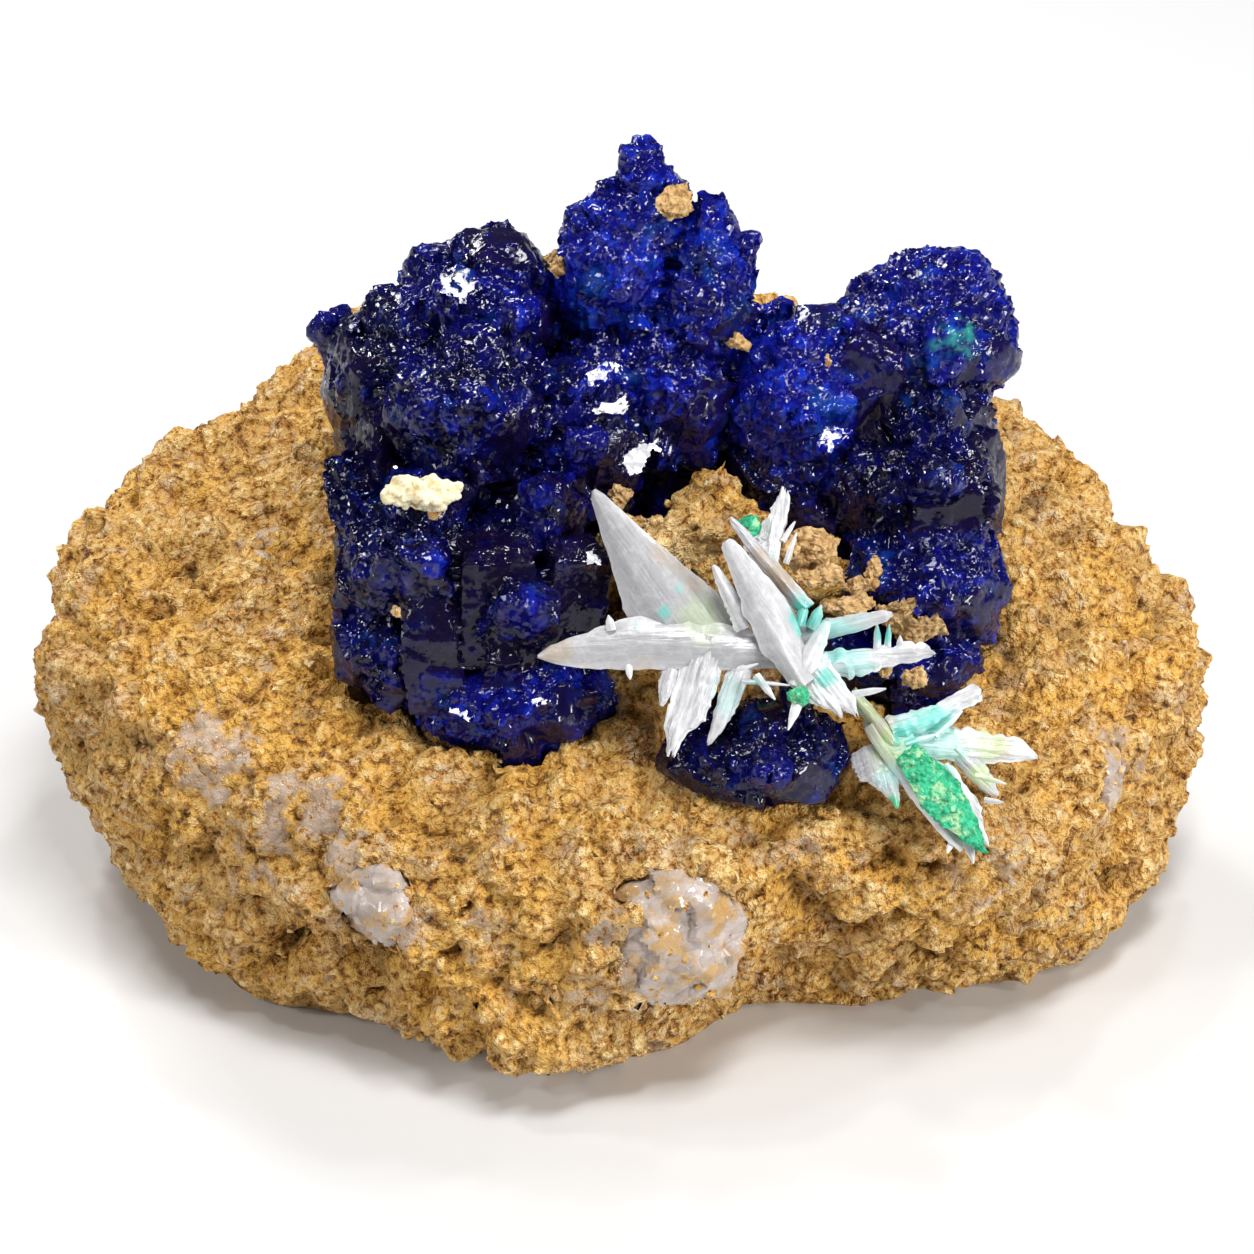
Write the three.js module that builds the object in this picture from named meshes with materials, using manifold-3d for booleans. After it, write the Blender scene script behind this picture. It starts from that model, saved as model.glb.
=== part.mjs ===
// Cerussite on azurite: a hand-sized mineral specimen.
// A rounded block of sandy, iron-stained rock carries a crowd of deep blue azurite rosettes round an open
// hollow, and two sprays of white cerussite blades stand in front of them. Millimetres, +Z up, +X to the
// right of the display side, +Y to the back. The origin is under the middle of the specimen, on its base.
import * as THREE from "three";
import { ConvexGeometry } from "three/addons/geometries/ConvexGeometry.js";
import { mergeVertices } from "three/addons/utils/BufferGeometryUtils.js";
import Module from "manifold-3d";

const wasm = await Module();
wasm.setup();

// ---- driving dimensions, mm ----
const ROCK_MIDDLE = [0, 2, 15]; // middle of the rock, at its widest level
const ROCK_HIGH = 13; // reach of the rock above that level
const ROCK_LOW = 17; // reach below it, before the base is cut flat
const ROCK_PLAN = [39.5, 33.5, 30.5, 28, 32, 38, 40, 34, 28, 26, 24, 33]; // radii every 30 degrees from +X
const ROCK_POWER = { above: 3, below: 4.5 }; // how square the rock's upright outline is
const ROCK_RISE = 0.25; // slope of its top up to the back
const ROCK_DETAIL = 8; // splits of the icosahedron behind the rock
const BED = { height: 24, rise: 0.24 }; // level that the azurite grows from at y = 0, and its slope
const GAP = 0.4; // clearance that a crystal group keeps to what it grew on
const CUTTER = 200; // side of the blocks that cut things flat, wider than the specimen

const UP = new THREE.Vector3(0, 0, 1);
const VIEWER = [0, -0.83, 0.56]; // where the display side is seen from, which most broad blades face
const vec = (p) => new THREE.Vector3(...p);

// ---- numbers that repeat from run to run ----
function randomFrom(seed) {
  let state = seed;
  return () => {
    state = (state + 0x6d2b79f5) | 0;
    let t = Math.imul(state ^ (state >>> 15), 1 | state);
    t = (t + Math.imul(t ^ (t >>> 7), 61 | t)) ^ t;
    return ((t ^ (t >>> 14)) >>> 0) / 4294967296;
  };
}

// Smooth bumps between -1 and 1, about one every `size` mm.
function lumpiness(p, size) {
  const scaled = p.toArray().map((v) => v / size);
  const cell = scaled.map(Math.floor);
  const ease = scaled.map((v, i) => (v - cell[i]) ** 2 * (3 - 2 * (v - cell[i])));
  let sum = 0;
  for (let corner = 0; corner < 8; corner++) {
    const step = [corner & 1, (corner >> 1) & 1, corner >> 2];
    const [a, b, c] = cell.map((v, i) => v + step[i]);
    const value = randomFrom(a * 7349 + b * 1931 + c * 5237)();
    const weight = step.reduce((w, s, i) => w * (s ? ease[i] : 1 - ease[i]), 1);
    sum += weight * (2 * value - 1);
  }
  return sum;
}

// ---- solids ----
function solid(geometry) {
  const bare = geometry.clone();
  bare.deleteAttribute("normal");
  bare.deleteAttribute("uv");
  const merged = mergeVertices(bare, 1e-4);
  const vertProperties = merged.attributes.position.array;
  const triVerts = new Uint32Array(merged.index.array);
  return new wasm.Manifold(new wasm.Mesh({ numProp: 3, vertProperties, triVerts }));
}

function join(solids) {
  return solids.reduce((all, one) => all.add(one));
}

// The body that is left of a cut solid once its loose chips are gone.
function largest(shape) {
  return shape.decompose().reduce((a, b) => (b.volume() > a.volume() ? b : a));
}

function geometryOf(shape) {
  const { vertProperties, triVerts } = shape.getMesh();
  const geometry = new THREE.BufferGeometry();
  geometry.setAttribute("position", new THREE.BufferAttribute(vertProperties, 3));
  geometry.setIndex(new THREE.BufferAttribute(triVerts, 1));
  const flat = geometry.toNonIndexed();
  flat.computeVertexNormals();
  return flat;
}

function hull(points) {
  return solid(new ConvexGeometry(points));
}

// Everything under a plane that crosses the Z axis at `height` and rises to the back.
function below({ height, rise }) {
  const block = new THREE.BoxGeometry(CUTTER, CUTTER, CUTTER).translate(0, 0, -CUTTER / 2);
  return solid(block.rotateX(Math.atan(rise)).translate(0, 0, height));
}

// Points spread evenly over a ball, from its top down.
function spread(count) {
  const golden = Math.PI * (3 - Math.sqrt(5));
  return Array.from({ length: count }, (_, i) => {
    const z = 1 - (2 * (i + 0.5)) / count;
    const r = Math.sqrt(1 - z * z);
    return new THREE.Vector3(r * Math.cos(i * golden), r * Math.sin(i * golden), z);
  });
}

// A rough faceted lump.
function lump({ at, radii, corners, seed, roughness }, grow = 0) {
  const random = randomFrom(seed);
  const size = vec(radii).addScalar(grow);
  const points = spread(corners).map((d) => {
    const reach = 1 + roughness * (random() - 0.5);
    return d.multiply(size).multiplyScalar(reach).add(vec(at));
  });
  return hull(points);
}

// ---- the rock ----
// Broad swellings (rise above 0) and hollows (below 0): where, how far they reach, how high.
const ROCK_FORMS = [
  { at: [-6, -25, 4], reach: 7, rise: 2.6 },
  { at: [1, -24, 1], reach: 5, rise: -1.4 },
  { at: [5, -25, 13], reach: 8, rise: 2 },
  { at: [12, -22, 7], reach: 7, rise: -2.8 },
  { at: [16, -18, 1], reach: 6, rise: -1 },
  { at: [22, -20, 14], reach: 8, rise: 5.2 },
  { at: [22, -17, 2], reach: 6, rise: -1.6 },
  { at: [-20, -20, 4], reach: 7, rise: -1.2 },
  { at: [-28, -13, 1], reach: 7, rise: 0.8 },
  { at: [-39, -5, 7], reach: 7, rise: -2 },
  { at: [-39, 7, 21], reach: 9, rise: 1.4 },
  { at: [-35, 11, 23], reach: 6, rise: 1.4 },
  { at: [-24, 21, 28], reach: 7, rise: 0.4 },
  { at: [29, 17, 27], reach: 9, rise: 3.1 },
  { at: [40, 0, 16], reach: 6, rise: 1.8 },
  { at: [37, -8, 12], reach: 7, rise: -2.2 },
  { at: [33, -11, 2], reach: 6, rise: 1.4 },
  { at: [-17, 26, 30], reach: 9, rise: 4.2 },
  { at: [10, 25, 30], reach: 8, rise: 6 },
];
const BUMPS = { coarse: 8.5, fine: 4.2 }; // spacing of the rock's own bumps
const BUMP_HEIGHT = { coarse: 1.2, fine: 1.1 };

// Radius of the widest level at an azimuth: a smooth curve through ROCK_PLAN.
function planRadius(azimuth) {
  const count = ROCK_PLAN.length;
  const turn = ((azimuth / (2 * Math.PI)) * count + count) % count;
  const i = Math.floor(turn);
  const t = turn - i;
  const [a, b, c, d] = [-1, 0, 1, 2].map((k) => ROCK_PLAN[(i + k + count) % count]);
  return b + 0.5 * t * (c - a + t * (2 * a - 5 * b + 4 * c - d + t * (3 * (b - c) + d - a)));
}

function rockPoint(direction, grow) {
  const plan = planRadius(Math.atan2(direction.y, direction.x));
  const upper = direction.z > 0;
  const power = upper ? ROCK_POWER.above : ROCK_POWER.below;
  const level = Math.hypot(direction.x, direction.y) / plan;
  const height = Math.abs(direction.z) / (upper ? ROCK_HIGH : ROCK_LOW);
  const point = direction.clone().multiplyScalar((level ** power + height ** power) ** (-1 / power));
  if (upper) point.z += (ROCK_RISE * point.y * point.z) / ROCK_HIGH;
  point.add(vec(ROCK_MIDDLE));
  let rise = grow;
  rise += BUMP_HEIGHT.coarse * lumpiness(point, BUMPS.coarse);
  rise += BUMP_HEIGHT.fine * lumpiness(point, BUMPS.fine);
  for (const form of ROCK_FORMS)
    rise += form.rise * Math.exp(-vec(form.at).distanceToSquared(point) / form.reach ** 2);
  return point.addScaledVector(direction, rise);
}

function rockBody(grow = 0) {
  const ball = new THREE.IcosahedronGeometry(1, ROCK_DETAIL);
  const corners = ball.getAttribute("position");
  for (let i = 0; i < corners.count; i++) {
    const direction = new THREE.Vector3().fromBufferAttribute(corners, i).normalize();
    corners.setXYZ(i, ...rockPoint(direction, grow));
  }
  return solid(ball);
}

// Knobs of the same sandy rock that stand up between the azurite rosettes.
const KNOBS = [
  { at: [4.4, -4.2, 29], radii: [4, 3.1, 6.4] },
  { at: [5.6, -3.4, 34.6], radii: [2, 2, 2.6] },
  { at: [2, -5, 32], radii: [2.8, 2.4, 2.8] },
  { at: [7.4, -3.8, 32], radii: [2.2, 2.1, 2.4] },
  { at: [12.4, -4.6, 27.6], radii: [3.4, 2.8, 5] },
  { at: [10.4, -5.6, 26.4], radii: [3, 3, 3.4] },
  { at: [1, -6.6, 32.4], radii: [2.8, 2.2, 3.4] },
];

function knobs(grow = 0) {
  return join(KNOBS.map((knob, i) => lump({ ...knob, corners: 22, seed: 11 + i, roughness: 0.3 }, grow)));
}

// ---- quartz set into the rock ----
// `size` is half the width, half the height and half the depth of each nodule.
const QUARTZ = [
  { name: "quartz_front", towards: [3, -26, 13], size: [5.2, 6.4, 3] },
  { name: "quartz_left", towards: [-19.4, -24, 14.6], size: [3.2, 3.6, 2] },
  { name: "quartz_right", towards: [37, -12.6, 17.6], size: [2, 2.4, 1.6] },
];
const QUARTZ_SUNK = 0.55; // share of its half depth that a nodule lies under the skin

function quartz({ towards, size }, seed, grow = 0) {
  const out = vec(towards).sub(vec(ROCK_MIDDLE)).normalize();
  const middle = rockPoint(out, 0).addScaledVector(out, -QUARTZ_SUNK * size[2]);
  const turn = new THREE.Quaternion().setFromUnitVectors(UP, out);
  const random = randomFrom(seed);
  const reach = vec(size).addScalar(grow);
  const corners = spread(20).map((d) => {
    const rough = 0.85 + 0.3 * random();
    return d.multiply(reach).multiplyScalar(rough).applyQuaternion(turn).add(middle);
  });
  return hull(corners);
}

// ---- azurite ----
// The rosettes of the main group: middle, half sizes, and how many large crystals stand out of each.
// `grain` is how many corners the rounded mass has, and `bold` the size of its crystals against its own.
const ROSETTES = [
  { at: [-9.8, 6, 43.6], radii: [5.9, 5.8, 5.5], blades: 0, grain: 42, bold: 0.7 },
  { at: [-15.4, 4, 39], radii: [5.2, 6.4, 7], blades: 2, grain: 30, bold: 0.7 },
  { at: [-10.3, -0.6, 40], radii: [6.4, 6.2, 6], blades: 4, grain: 26, bold: 0.8 },
  { at: [-3.6, -1, 38], radii: [5.8, 5.4, 5.6], blades: 3, grain: 26, bold: 0.8 },
  { at: [-14, -6.6, 31.2], radii: [6, 6.2, 7], blades: 4, grain: 22, bold: 1 },
  { at: [-15, -9.2, 27], radii: [5, 4.4, 4.2], blades: 3, grain: 18, bold: 0.9 },
  { at: [-7.8, -8.4, 29.6], radii: [6.4, 6, 7.2], blades: 4, grain: 18, bold: 1 },
  { at: [-7.4, -11.4, 24.6], radii: [7.2, 5.2, 4.2], blades: 3, grain: 26, bold: 0.8 },
  { at: [0, 5, 46.8], radii: [5.1, 5, 6.8], blades: 0, grain: 38, bold: 0.6 },
  { at: [1, 4.8, 50.6], radii: [3.9, 3.4, 4.6], blades: 0, grain: 34, bold: 0.6 },
  { at: [4.8, 3, 45.4], radii: [3.8, 3.8, 6.4], blades: 1, grain: 30, bold: 0.6 },
  { at: [1.6, 2, 39.6], radii: [6.6, 5.2, 6.2], blades: 3, grain: 22, bold: 0.8 },
  { at: [11.4, 1, 39.2], radii: [5.4, 4.8, 6], blades: 3, grain: 30, bold: 0.6 },
  { at: [19.9, 4.8, 42.3], radii: [6.2, 6, 5.7], blades: 0, grain: 44, bold: 0.5 },
  { at: [20, 2, 38.4], radii: [5, 4.6, 4.6], blades: 2, grain: 18, bold: 0.8 },
  { at: [18.8, -1.5, 35], radii: [6.2, 5.2, 5.6], blades: 4, grain: 18, bold: 0.9 },
  { at: [19.4, -5, 29], radii: [6.2, 5.8, 5.8], blades: 3, grain: 26, bold: 0.8 },
  { at: [18, -8.2, 25.2], radii: [6, 4.4, 3.4], blades: 3, grain: 22, bold: 0.8 },
  { at: [-7, -2.6, 34], radii: [8, 5, 6], blades: 0, grain: 14, bold: 1 },
  { at: [-3.6, 6.4, 42.4], radii: [3.4, 4, 4.2], blades: 0, grain: 14, bold: 1 },
  { at: [12, 0.6, 34.4], radii: [6, 4.8, 5.6], blades: 2, grain: 14, bold: 0.8 },
  { at: [3, 7, 33], radii: [14, 6, 9], blades: 4, grain: 18, bold: 0.5 },
  { at: [19.6, 5.4, 35], radii: [5.6, 5, 6.4], blades: 0, grain: 12, bold: 1 },
  { at: [-12, 6, 34], radii: [6.4, 5.4, 7], blades: 0, grain: 12, bold: 1 },
];
const FRONT_ROSETTE = { at: [8.2, -16.4, 23.2], radii: [6.6, 4.6, 3.8], blades: 4, grain: 26, bold: 0.8 };
const ROUGHNESS = 0.12; // of the rounded masses

// One flat crystal: a tablet that grows from `root` along `along`, a broad face turned to `face`. It
// narrows at its end, over the share `chisel` of its length, or all the way where that is 0.
// `size` is its width, thickness and length.
function tablet({ root, along, face, size, chisel = 0 }, grow = 0) {
  const y = along.clone().normalize();
  const x = y.clone().cross(face).normalize();
  const z = x.clone().cross(y);
  const [w, t, long] = [size[0] / 2 + grow, size[1] / 2 + grow, size[2] + grow];
  const corners = [];
  for (const [sx, sz] of [[-1, -1], [1, -1], [1, 1], [-1, 1]]) {
    corners.push([sx * w, 0, sz * t]);
    if (chisel) corners.push([sx * w, long * (1 - chisel), sz * t]);
    corners.push([sx * w * 0.6, long, sz * t * 0.4]);
  }
  const place = ([a, b, c]) => root.clone().addScaledVector(x, a).addScaledVector(y, b).addScaledVector(z, c);
  return hull(corners.map(place));
}

// Big crystals of the main group that stand out by themselves.
const CRYSTALS = [
  { root: [-8.4, -12, 27.6], along: [0, 0.2, 1], face: [0.1, -1, 0.3], size: [4.8, 4.4, 8], chisel: 0.08 },
  { root: [-4.4, -11, 27.4], along: [0.15, 0.2, 1], face: [0.35, -1, 0.2], size: [4, 4, 8], chisel: 0.12 },
  { root: [-12, -13, 24.6], along: [-0.1, 0.1, 1], face: [-0.2, -1, 0.35], size: [3.8, 3.4, 8], chisel: 0.3 },
  { root: [-8.4, -13.4, 23], along: [0.05, 0, 1], face: [0.1, -1, 0.3], size: [2.4, 3, 7], chisel: 0.15 },
  { root: [-17.8, -3, 27], along: [0.1, 0.05, 1], face: [-1, -0.5, 0.1], size: [3.4, 1.8, 13], chisel: 0.2 },
  { root: [-18, 1, 33], along: [0.02, 0, 1], face: [-1, -0.4, 0], size: [4, 1.8, 10.4], chisel: 0.2 },
  { root: [-15.6, 4, 36], along: [0.12, 0, 1], face: [-1, -0.6, 0.1], size: [4, 1.8, 8.8], chisel: 0.3 },
  { root: [14.2, -0.6, 38], along: [0.4, 0, 1], face: [-0.1, -1, 0.7], size: [4.4, 2.4, 7], chisel: 0.1 },
  { root: [12.6, 2.4, 39.6], along: [0.05, 0, 1], face: [0.3, -1, 0.2], size: [3.4, 3, 5.8], chisel: 0.1 },
  { root: [20.2, -5.4, 30], along: [0.1, 0.1, 1], face: [0.2, -1, 0.4], size: [4.6, 3, 8], chisel: 0.2 },
  { root: [23.4, -2, 30], along: [0.02, 0.1, 1], face: [1, -0.6, 0.1], size: [4, 1.8, 8], chisel: 0.3 },
  { root: [-8.8, 5.6, 43], along: [0.1, 0, 1], face: [0.2, -1, 0.2], size: [4.2, 4, 5.8], chisel: 0.12 },
  { root: [0.9, 5.4, 48], along: [0, 0, 1], face: [0.5, -1, 0.1], size: [4, 3.6, 7.8], chisel: 0.7 },
  { root: [5.4, 3.2, 44], along: [0.02, 0, 1], face: [0.3, -1, 0.1], size: [3.4, 3.2, 9.4], chisel: 0.75 },
];

// One rosette: a rough mass shingled with crystals that lean outwards and show a broad face.
function rosette({ at, radii, blades, grain, bold }, seed, grow = 0) {
  const random = randomFrom(seed);
  const jitter = () => new THREE.Vector3(random() - 0.5, random() - 0.5, random() - 0.5);
  const parts = [lump({ at, radii, corners: grain, seed, roughness: ROUGHNESS }, grow)];
  const mean = (bold * (radii[0] + radii[1] + radii[2])) / 3;
  for (const out of spread(Math.ceil(blades * 1.35)).slice(0, blades)) {
    const along = out.clone().multiplyScalar(0.5).add(UP).addScaledVector(jitter(), 0.7).normalize();
    const face = out.clone().add(new THREE.Vector3(0, -0.2, 0)).addScaledVector(jitter(), 0.5);
    const length = mean * (1.2 + 0.3 * random());
    const thickness = mean * (0.66 + 0.16 * random());
    const width = mean * (0.8 + 0.3 * random());
    const reach = out.clone().multiply(vec(radii));
    const surface = vec(at).add(reach).addScaledVector(reach.normalize(), -0.4 * thickness);
    const root = surface.addScaledVector(along, -0.5 * length);
    parts.push(tablet({ root, along, face, size: [width, thickness, length] }, grow));
  }
  return join(parts);
}

function azuriteCluster(grow = 0) {
  const groups = ROSETTES.map((group, i) => rosette(group, 100 + i, grow));
  const singles = CRYSTALS.map(({ root, along, face, ...rest }) =>
    tablet({ root: vec(root), along: vec(along), face: vec(face), ...rest }, grow),
  );
  return join([...groups, ...singles]);
}

// ---- cerussite ----
// One blade: a flat spindle with a ridge down each side. `widths` are those at its root and half way.
const BLADE_STATIONS = [
  { share: 0, of: 0, width: 1, thickness: 1 },
  { share: 0.45, of: 1, width: 1, thickness: 1 },
  { share: 0.8, of: 1, width: 0.5, thickness: 0.7 },
  { share: 1, of: 1, width: 0.08, thickness: 0.4 },
];

function blade({ root, tip, widths, thickness, face = VIEWER }, grow = 0) {
  const axis = vec(tip).sub(vec(root));
  const y = axis.clone().normalize();
  const x = y.clone().cross(vec(face)).normalize();
  const z = x.clone().cross(y);
  const corners = [];
  for (const station of BLADE_STATIONS) {
    const middle = vec(root).addScaledVector(axis, station.share);
    const w = (widths[station.of] * station.width) / 2 + grow;
    const t = (thickness * station.thickness) / 2 + grow;
    corners.push(middle.clone().addScaledVector(x, w), middle.clone().addScaledVector(x, -w));
    corners.push(middle.clone().addScaledVector(z, t), middle.clone().addScaledVector(z, -t));
  }
  return hull(corners);
}

const MAIN_SPRAY = [
  { root: [3.5, -15.6, 31], tip: [-1.9, -10.1, 39.2], widths: [7.8, 4.4], thickness: 1.8 },
  { root: [9.5, -15.4, 31.4], tip: [-5.7, -16.4, 30.6], widths: [3.4, 3.6], thickness: 1.6 },
  { root: [11, -18.2, 29.6], tip: [6.4, -13.3, 37.8], widths: [3.4, 4], thickness: 1.7 },
  { root: [10, -13, 32], tip: [9.9, -8.3, 38.2], widths: [2.2, 1.9], thickness: 0.9 },
  { root: [9.6, -15, 31.4], tip: [16.6, -16, 33.8], widths: [2.6, 1.8], thickness: 1 },
  { root: [9.4, -16, 30.6], tip: [19.5, -16.6, 31.2], widths: [2.4, 2.4], thickness: 1.1 },
  { root: [4.9, -16, 31], tip: [2.9, -19.9, 25.4], widths: [4, 4], thickness: 1.2 },
  { root: [7, -15.8, 30.8], tip: [5.5, -19, 25.8], widths: [2.2, 1.8], thickness: 0.9 },
  { root: [8.4, -15.6, 30.6], tip: [8.4, -18, 29], widths: [1.6, 1.2], thickness: 0.7 },
  { root: [11.6, -16.4, 30.6], tip: [10.8, -19.3, 27.3], widths: [1.2, 1], thickness: 0.7 },
  { root: [10.6, -16.6, 30.8], tip: [14.7, -19.7, 28.3], widths: [3, 2.8], thickness: 1.1 },
  { root: [12.4, -17, 28.6], tip: [12.6, -16.8, 34], widths: [2, 2.4], thickness: 1.2, face: [-0.6, -0.8, 0.3] },
  { root: [10.4, -15.6, 31], tip: [9.4, -6, 29.4], widths: [3.6, 4.6], thickness: 2.2, face: [1, 0.2, 0.6] },
];

const GREEN_SIDE = [0.4, -0.75, 0.55]; // where the front blade of the side spray faces
const SIDE_SPRAY = [
  { root: [17, -17.6, 24.2], tip: [26.6, -15.4, 22.8], widths: [3, 3.6], thickness: 1.1 },
  { root: [16.6, -17.4, 25.4], tip: [22.8, -14.8, 26.4], widths: [2.6, 2.6], thickness: 1 },
  { root: [17, -17, 25.2], tip: [23, -22.4, 18.9], widths: [2.6, 3.8], thickness: 1.5, face: GREEN_SIDE },
  { root: [16.8, -17.6, 24], tip: [17.2, -21.6, 22], widths: [3.6, 2.8], thickness: 1.2 },
  { root: [20, -17, 23.2], tip: [24.6, -17.6, 20], widths: [2.4, 2], thickness: 1 },
  { root: [14.4, -17, 26.8], tip: [17.8, -18.6, 23.4], widths: [1.6, 2], thickness: 1.2, face: GREEN_SIDE },
  { root: [17.4, -18, 25], tip: [17, -13.6, 18], widths: [3, 3.4], thickness: 2.4, face: [1, -0.4, 0.4] },
];
// The coat of malachite lies on the front of that blade.
const COAT = { root: [17.9, -19, 25], tip: [23, -22.9, 19.8], widths: [2, 3.2], thickness: 1.4 };

function spray(blades, grow = 0) {
  return join(blades.map((one) => blade(one, grow)));
}

// ---- small things on the crystals ----
const CRUSTS = [
  { name: "cream_crust", at: [-13.2, -9.8, 38.8], radii: [2.5, 1.2, 1.2] },
  { name: "tan_crust_top", at: [3, 2.2, 53.2], radii: [1.5, 1.9, 1.1] },
  { name: "tan_crust_right", at: [18.5, -10.5, 29.6], radii: [2.3, 1.9, 1.8] },
];
const BEADS = [
  { name: "malachite_bead_top", at: [7.9, -9.6, 36], radii: [0.9, 0.9, 0.9] },
  { name: "malachite_bead_low", at: [10.9, -18.9, 29.3], radii: [0.8, 0.8, 0.8] },
];

// ---- materials ----
const SAND = { color: 0xb98a4a, roughness: 0.9, metalness: 0 };
const AZURITE = { color: 0x10157a, roughness: 0.25, metalness: 0 };
const CERUSSITE = { color: 0xe4e4e6, roughness: 0.3, metalness: 0 };
const CREAM = { color: 0xeadfbd, roughness: 0.85, metalness: 0 };
const MALACHITE = { color: 0x2fb584, roughness: 0.6, metalness: 0 };
const QUARTZ_MILK = { color: 0xc3b7ae, roughness: 0.3, metalness: 0 };

// ---- assembly ----
const specimen = new THREE.Group();

function place(name, shape, look) {
  const mesh = new THREE.Mesh(geometryOf(largest(shape)), new THREE.MeshStandardMaterial(look));
  mesh.name = name;
  specimen.add(mesh);
}

const grownRosette = rosette(FRONT_ROSETTE, 90, GAP);
const grownCluster = azuriteCluster(GAP).subtract(below(BED));
const grownRock = rockBody(GAP).add(knobs(GAP));

// The rock gives way to the azurite down to its bed, and the knobs stand up through the azurite.
const pockets = join([grownCluster, ...QUARTZ.map((stone, i) => quartz(stone, 21 + i, GAP))]);
const bedded = rockBody().subtract(below({ height: 0, rise: 0 })).subtract(pockets);
place("matrix_rock", bedded.add(knobs()), SAND);
QUARTZ.forEach((stone, i) => place(stone.name, quartz(stone, 21 + i), QUARTZ_MILK));

const aboveBed = azuriteCluster().subtract(below({ height: BED.height + GAP, rise: BED.rise }));
place("azurite_cluster", aboveBed.subtract(knobs(GAP)).subtract(grownRosette), AZURITE);
place("azurite_front_rosette", rosette(FRONT_ROSETTE, 90).subtract(grownRock), AZURITE);

const carriers = join([grownRock, grownRosette, grownCluster]);
const grownMain = spray(MAIN_SPRAY, GAP);
place("cerussite_spray", spray(MAIN_SPRAY).subtract(carriers), CERUSSITE);
place("cerussite_side_spray", spray(SIDE_SPRAY).subtract(carriers).subtract(grownMain), CERUSSITE);

const everything = join([carriers, grownMain, spray(SIDE_SPRAY, GAP)]);
place("malachite_crust", blade({ ...COAT, face: GREEN_SIDE }).subtract(everything), MALACHITE);
CRUSTS.forEach((crust, i) => {
  const look = crust.name === "cream_crust" ? CREAM : SAND;
  place(crust.name, lump({ ...crust, corners: 22, seed: 31 + i, roughness: 0.4 }).subtract(everything), look);
});
BEADS.forEach((bead, i) => {
  place(bead.name, lump({ ...bead, corners: 14, seed: 41 + i, roughness: 0.06 }).subtract(everything), MALACHITE);
});

// Put the origin under the middle of the specimen.
const bounds = new THREE.Box3().setFromObject(specimen);
const middle = bounds.getCenter(new THREE.Vector3());
specimen.position.set(-middle.x, -middle.y, -bounds.min.z);

export default specimen;
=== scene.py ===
import math
import random

import bmesh
import bpy
import numpy as np
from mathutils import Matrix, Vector


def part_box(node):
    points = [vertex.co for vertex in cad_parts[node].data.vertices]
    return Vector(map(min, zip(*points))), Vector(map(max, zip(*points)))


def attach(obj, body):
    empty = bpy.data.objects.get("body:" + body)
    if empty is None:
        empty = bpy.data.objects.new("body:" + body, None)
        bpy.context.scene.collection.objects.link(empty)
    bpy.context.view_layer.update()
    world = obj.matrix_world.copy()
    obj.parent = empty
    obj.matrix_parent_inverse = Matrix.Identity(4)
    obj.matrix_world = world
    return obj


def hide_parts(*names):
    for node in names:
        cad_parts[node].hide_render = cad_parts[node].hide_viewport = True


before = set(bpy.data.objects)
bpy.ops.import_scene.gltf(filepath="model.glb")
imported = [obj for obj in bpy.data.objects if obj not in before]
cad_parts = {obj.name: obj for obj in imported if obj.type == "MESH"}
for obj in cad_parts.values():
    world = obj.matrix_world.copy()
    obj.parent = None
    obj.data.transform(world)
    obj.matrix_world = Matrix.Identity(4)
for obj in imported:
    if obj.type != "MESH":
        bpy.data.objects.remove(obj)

MM = 0.001
SHIFT = Vector((0.507, -2.912, 0))  # from the specimen's own middle to the frame's
FRONT = Vector((0, -0.83, 0.56))  # the side that the broad blades face
RAGGED = 0.6  # how far the edge of a spot wanders, as a share of its reach
BALL_CORE = 0.55  # share of its reach up to which a spot is whole
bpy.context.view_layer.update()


def at(place):
    """A place in the specimen, in the frame's metres."""
    return (Vector(place) + SHIFT) * MM


# ---- node trees


def arithmetic(operation, swapped=False):
    """A method that works on a wire and another value, with the other one first if `swapped`."""
    return lambda self, other: self.maths(operation, *((other, self) if swapped else (self, other)))


class Wire:
    """The output of a node, which takes part in arithmetic."""

    def __init__(self, graph, socket):
        self.graph = graph
        self.socket = socket

    def beside(self, out):
        """Another output of the same node."""
        return Wire(self.graph, self.socket.node.outputs[out])

    def maths(self, operation, *values):
        return self.graph.node("ShaderNodeMath", {"operation": operation}, values)

    __add__ = arithmetic("ADD")
    __radd__ = arithmetic("ADD", True)
    __sub__ = arithmetic("SUBTRACT")
    __rsub__ = arithmetic("SUBTRACT", True)
    __mul__ = arithmetic("MULTIPLY")
    __rmul__ = arithmetic("MULTIPLY", True)
    __truediv__ = arithmetic("DIVIDE")
    __rtruediv__ = arithmetic("DIVIDE", True)
    __pow__ = arithmetic("POWER")
    most = arithmetic("MAXIMUM")

    def between(self, low, high):
        """0 below `low`, 1 above `high`, and a straight rise between them."""
        sockets = {"Value": self, "From Min": low, "From Max": high}
        return self.graph.node("ShaderNodeMapRange", {"clamp": True}, sockets)


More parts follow.
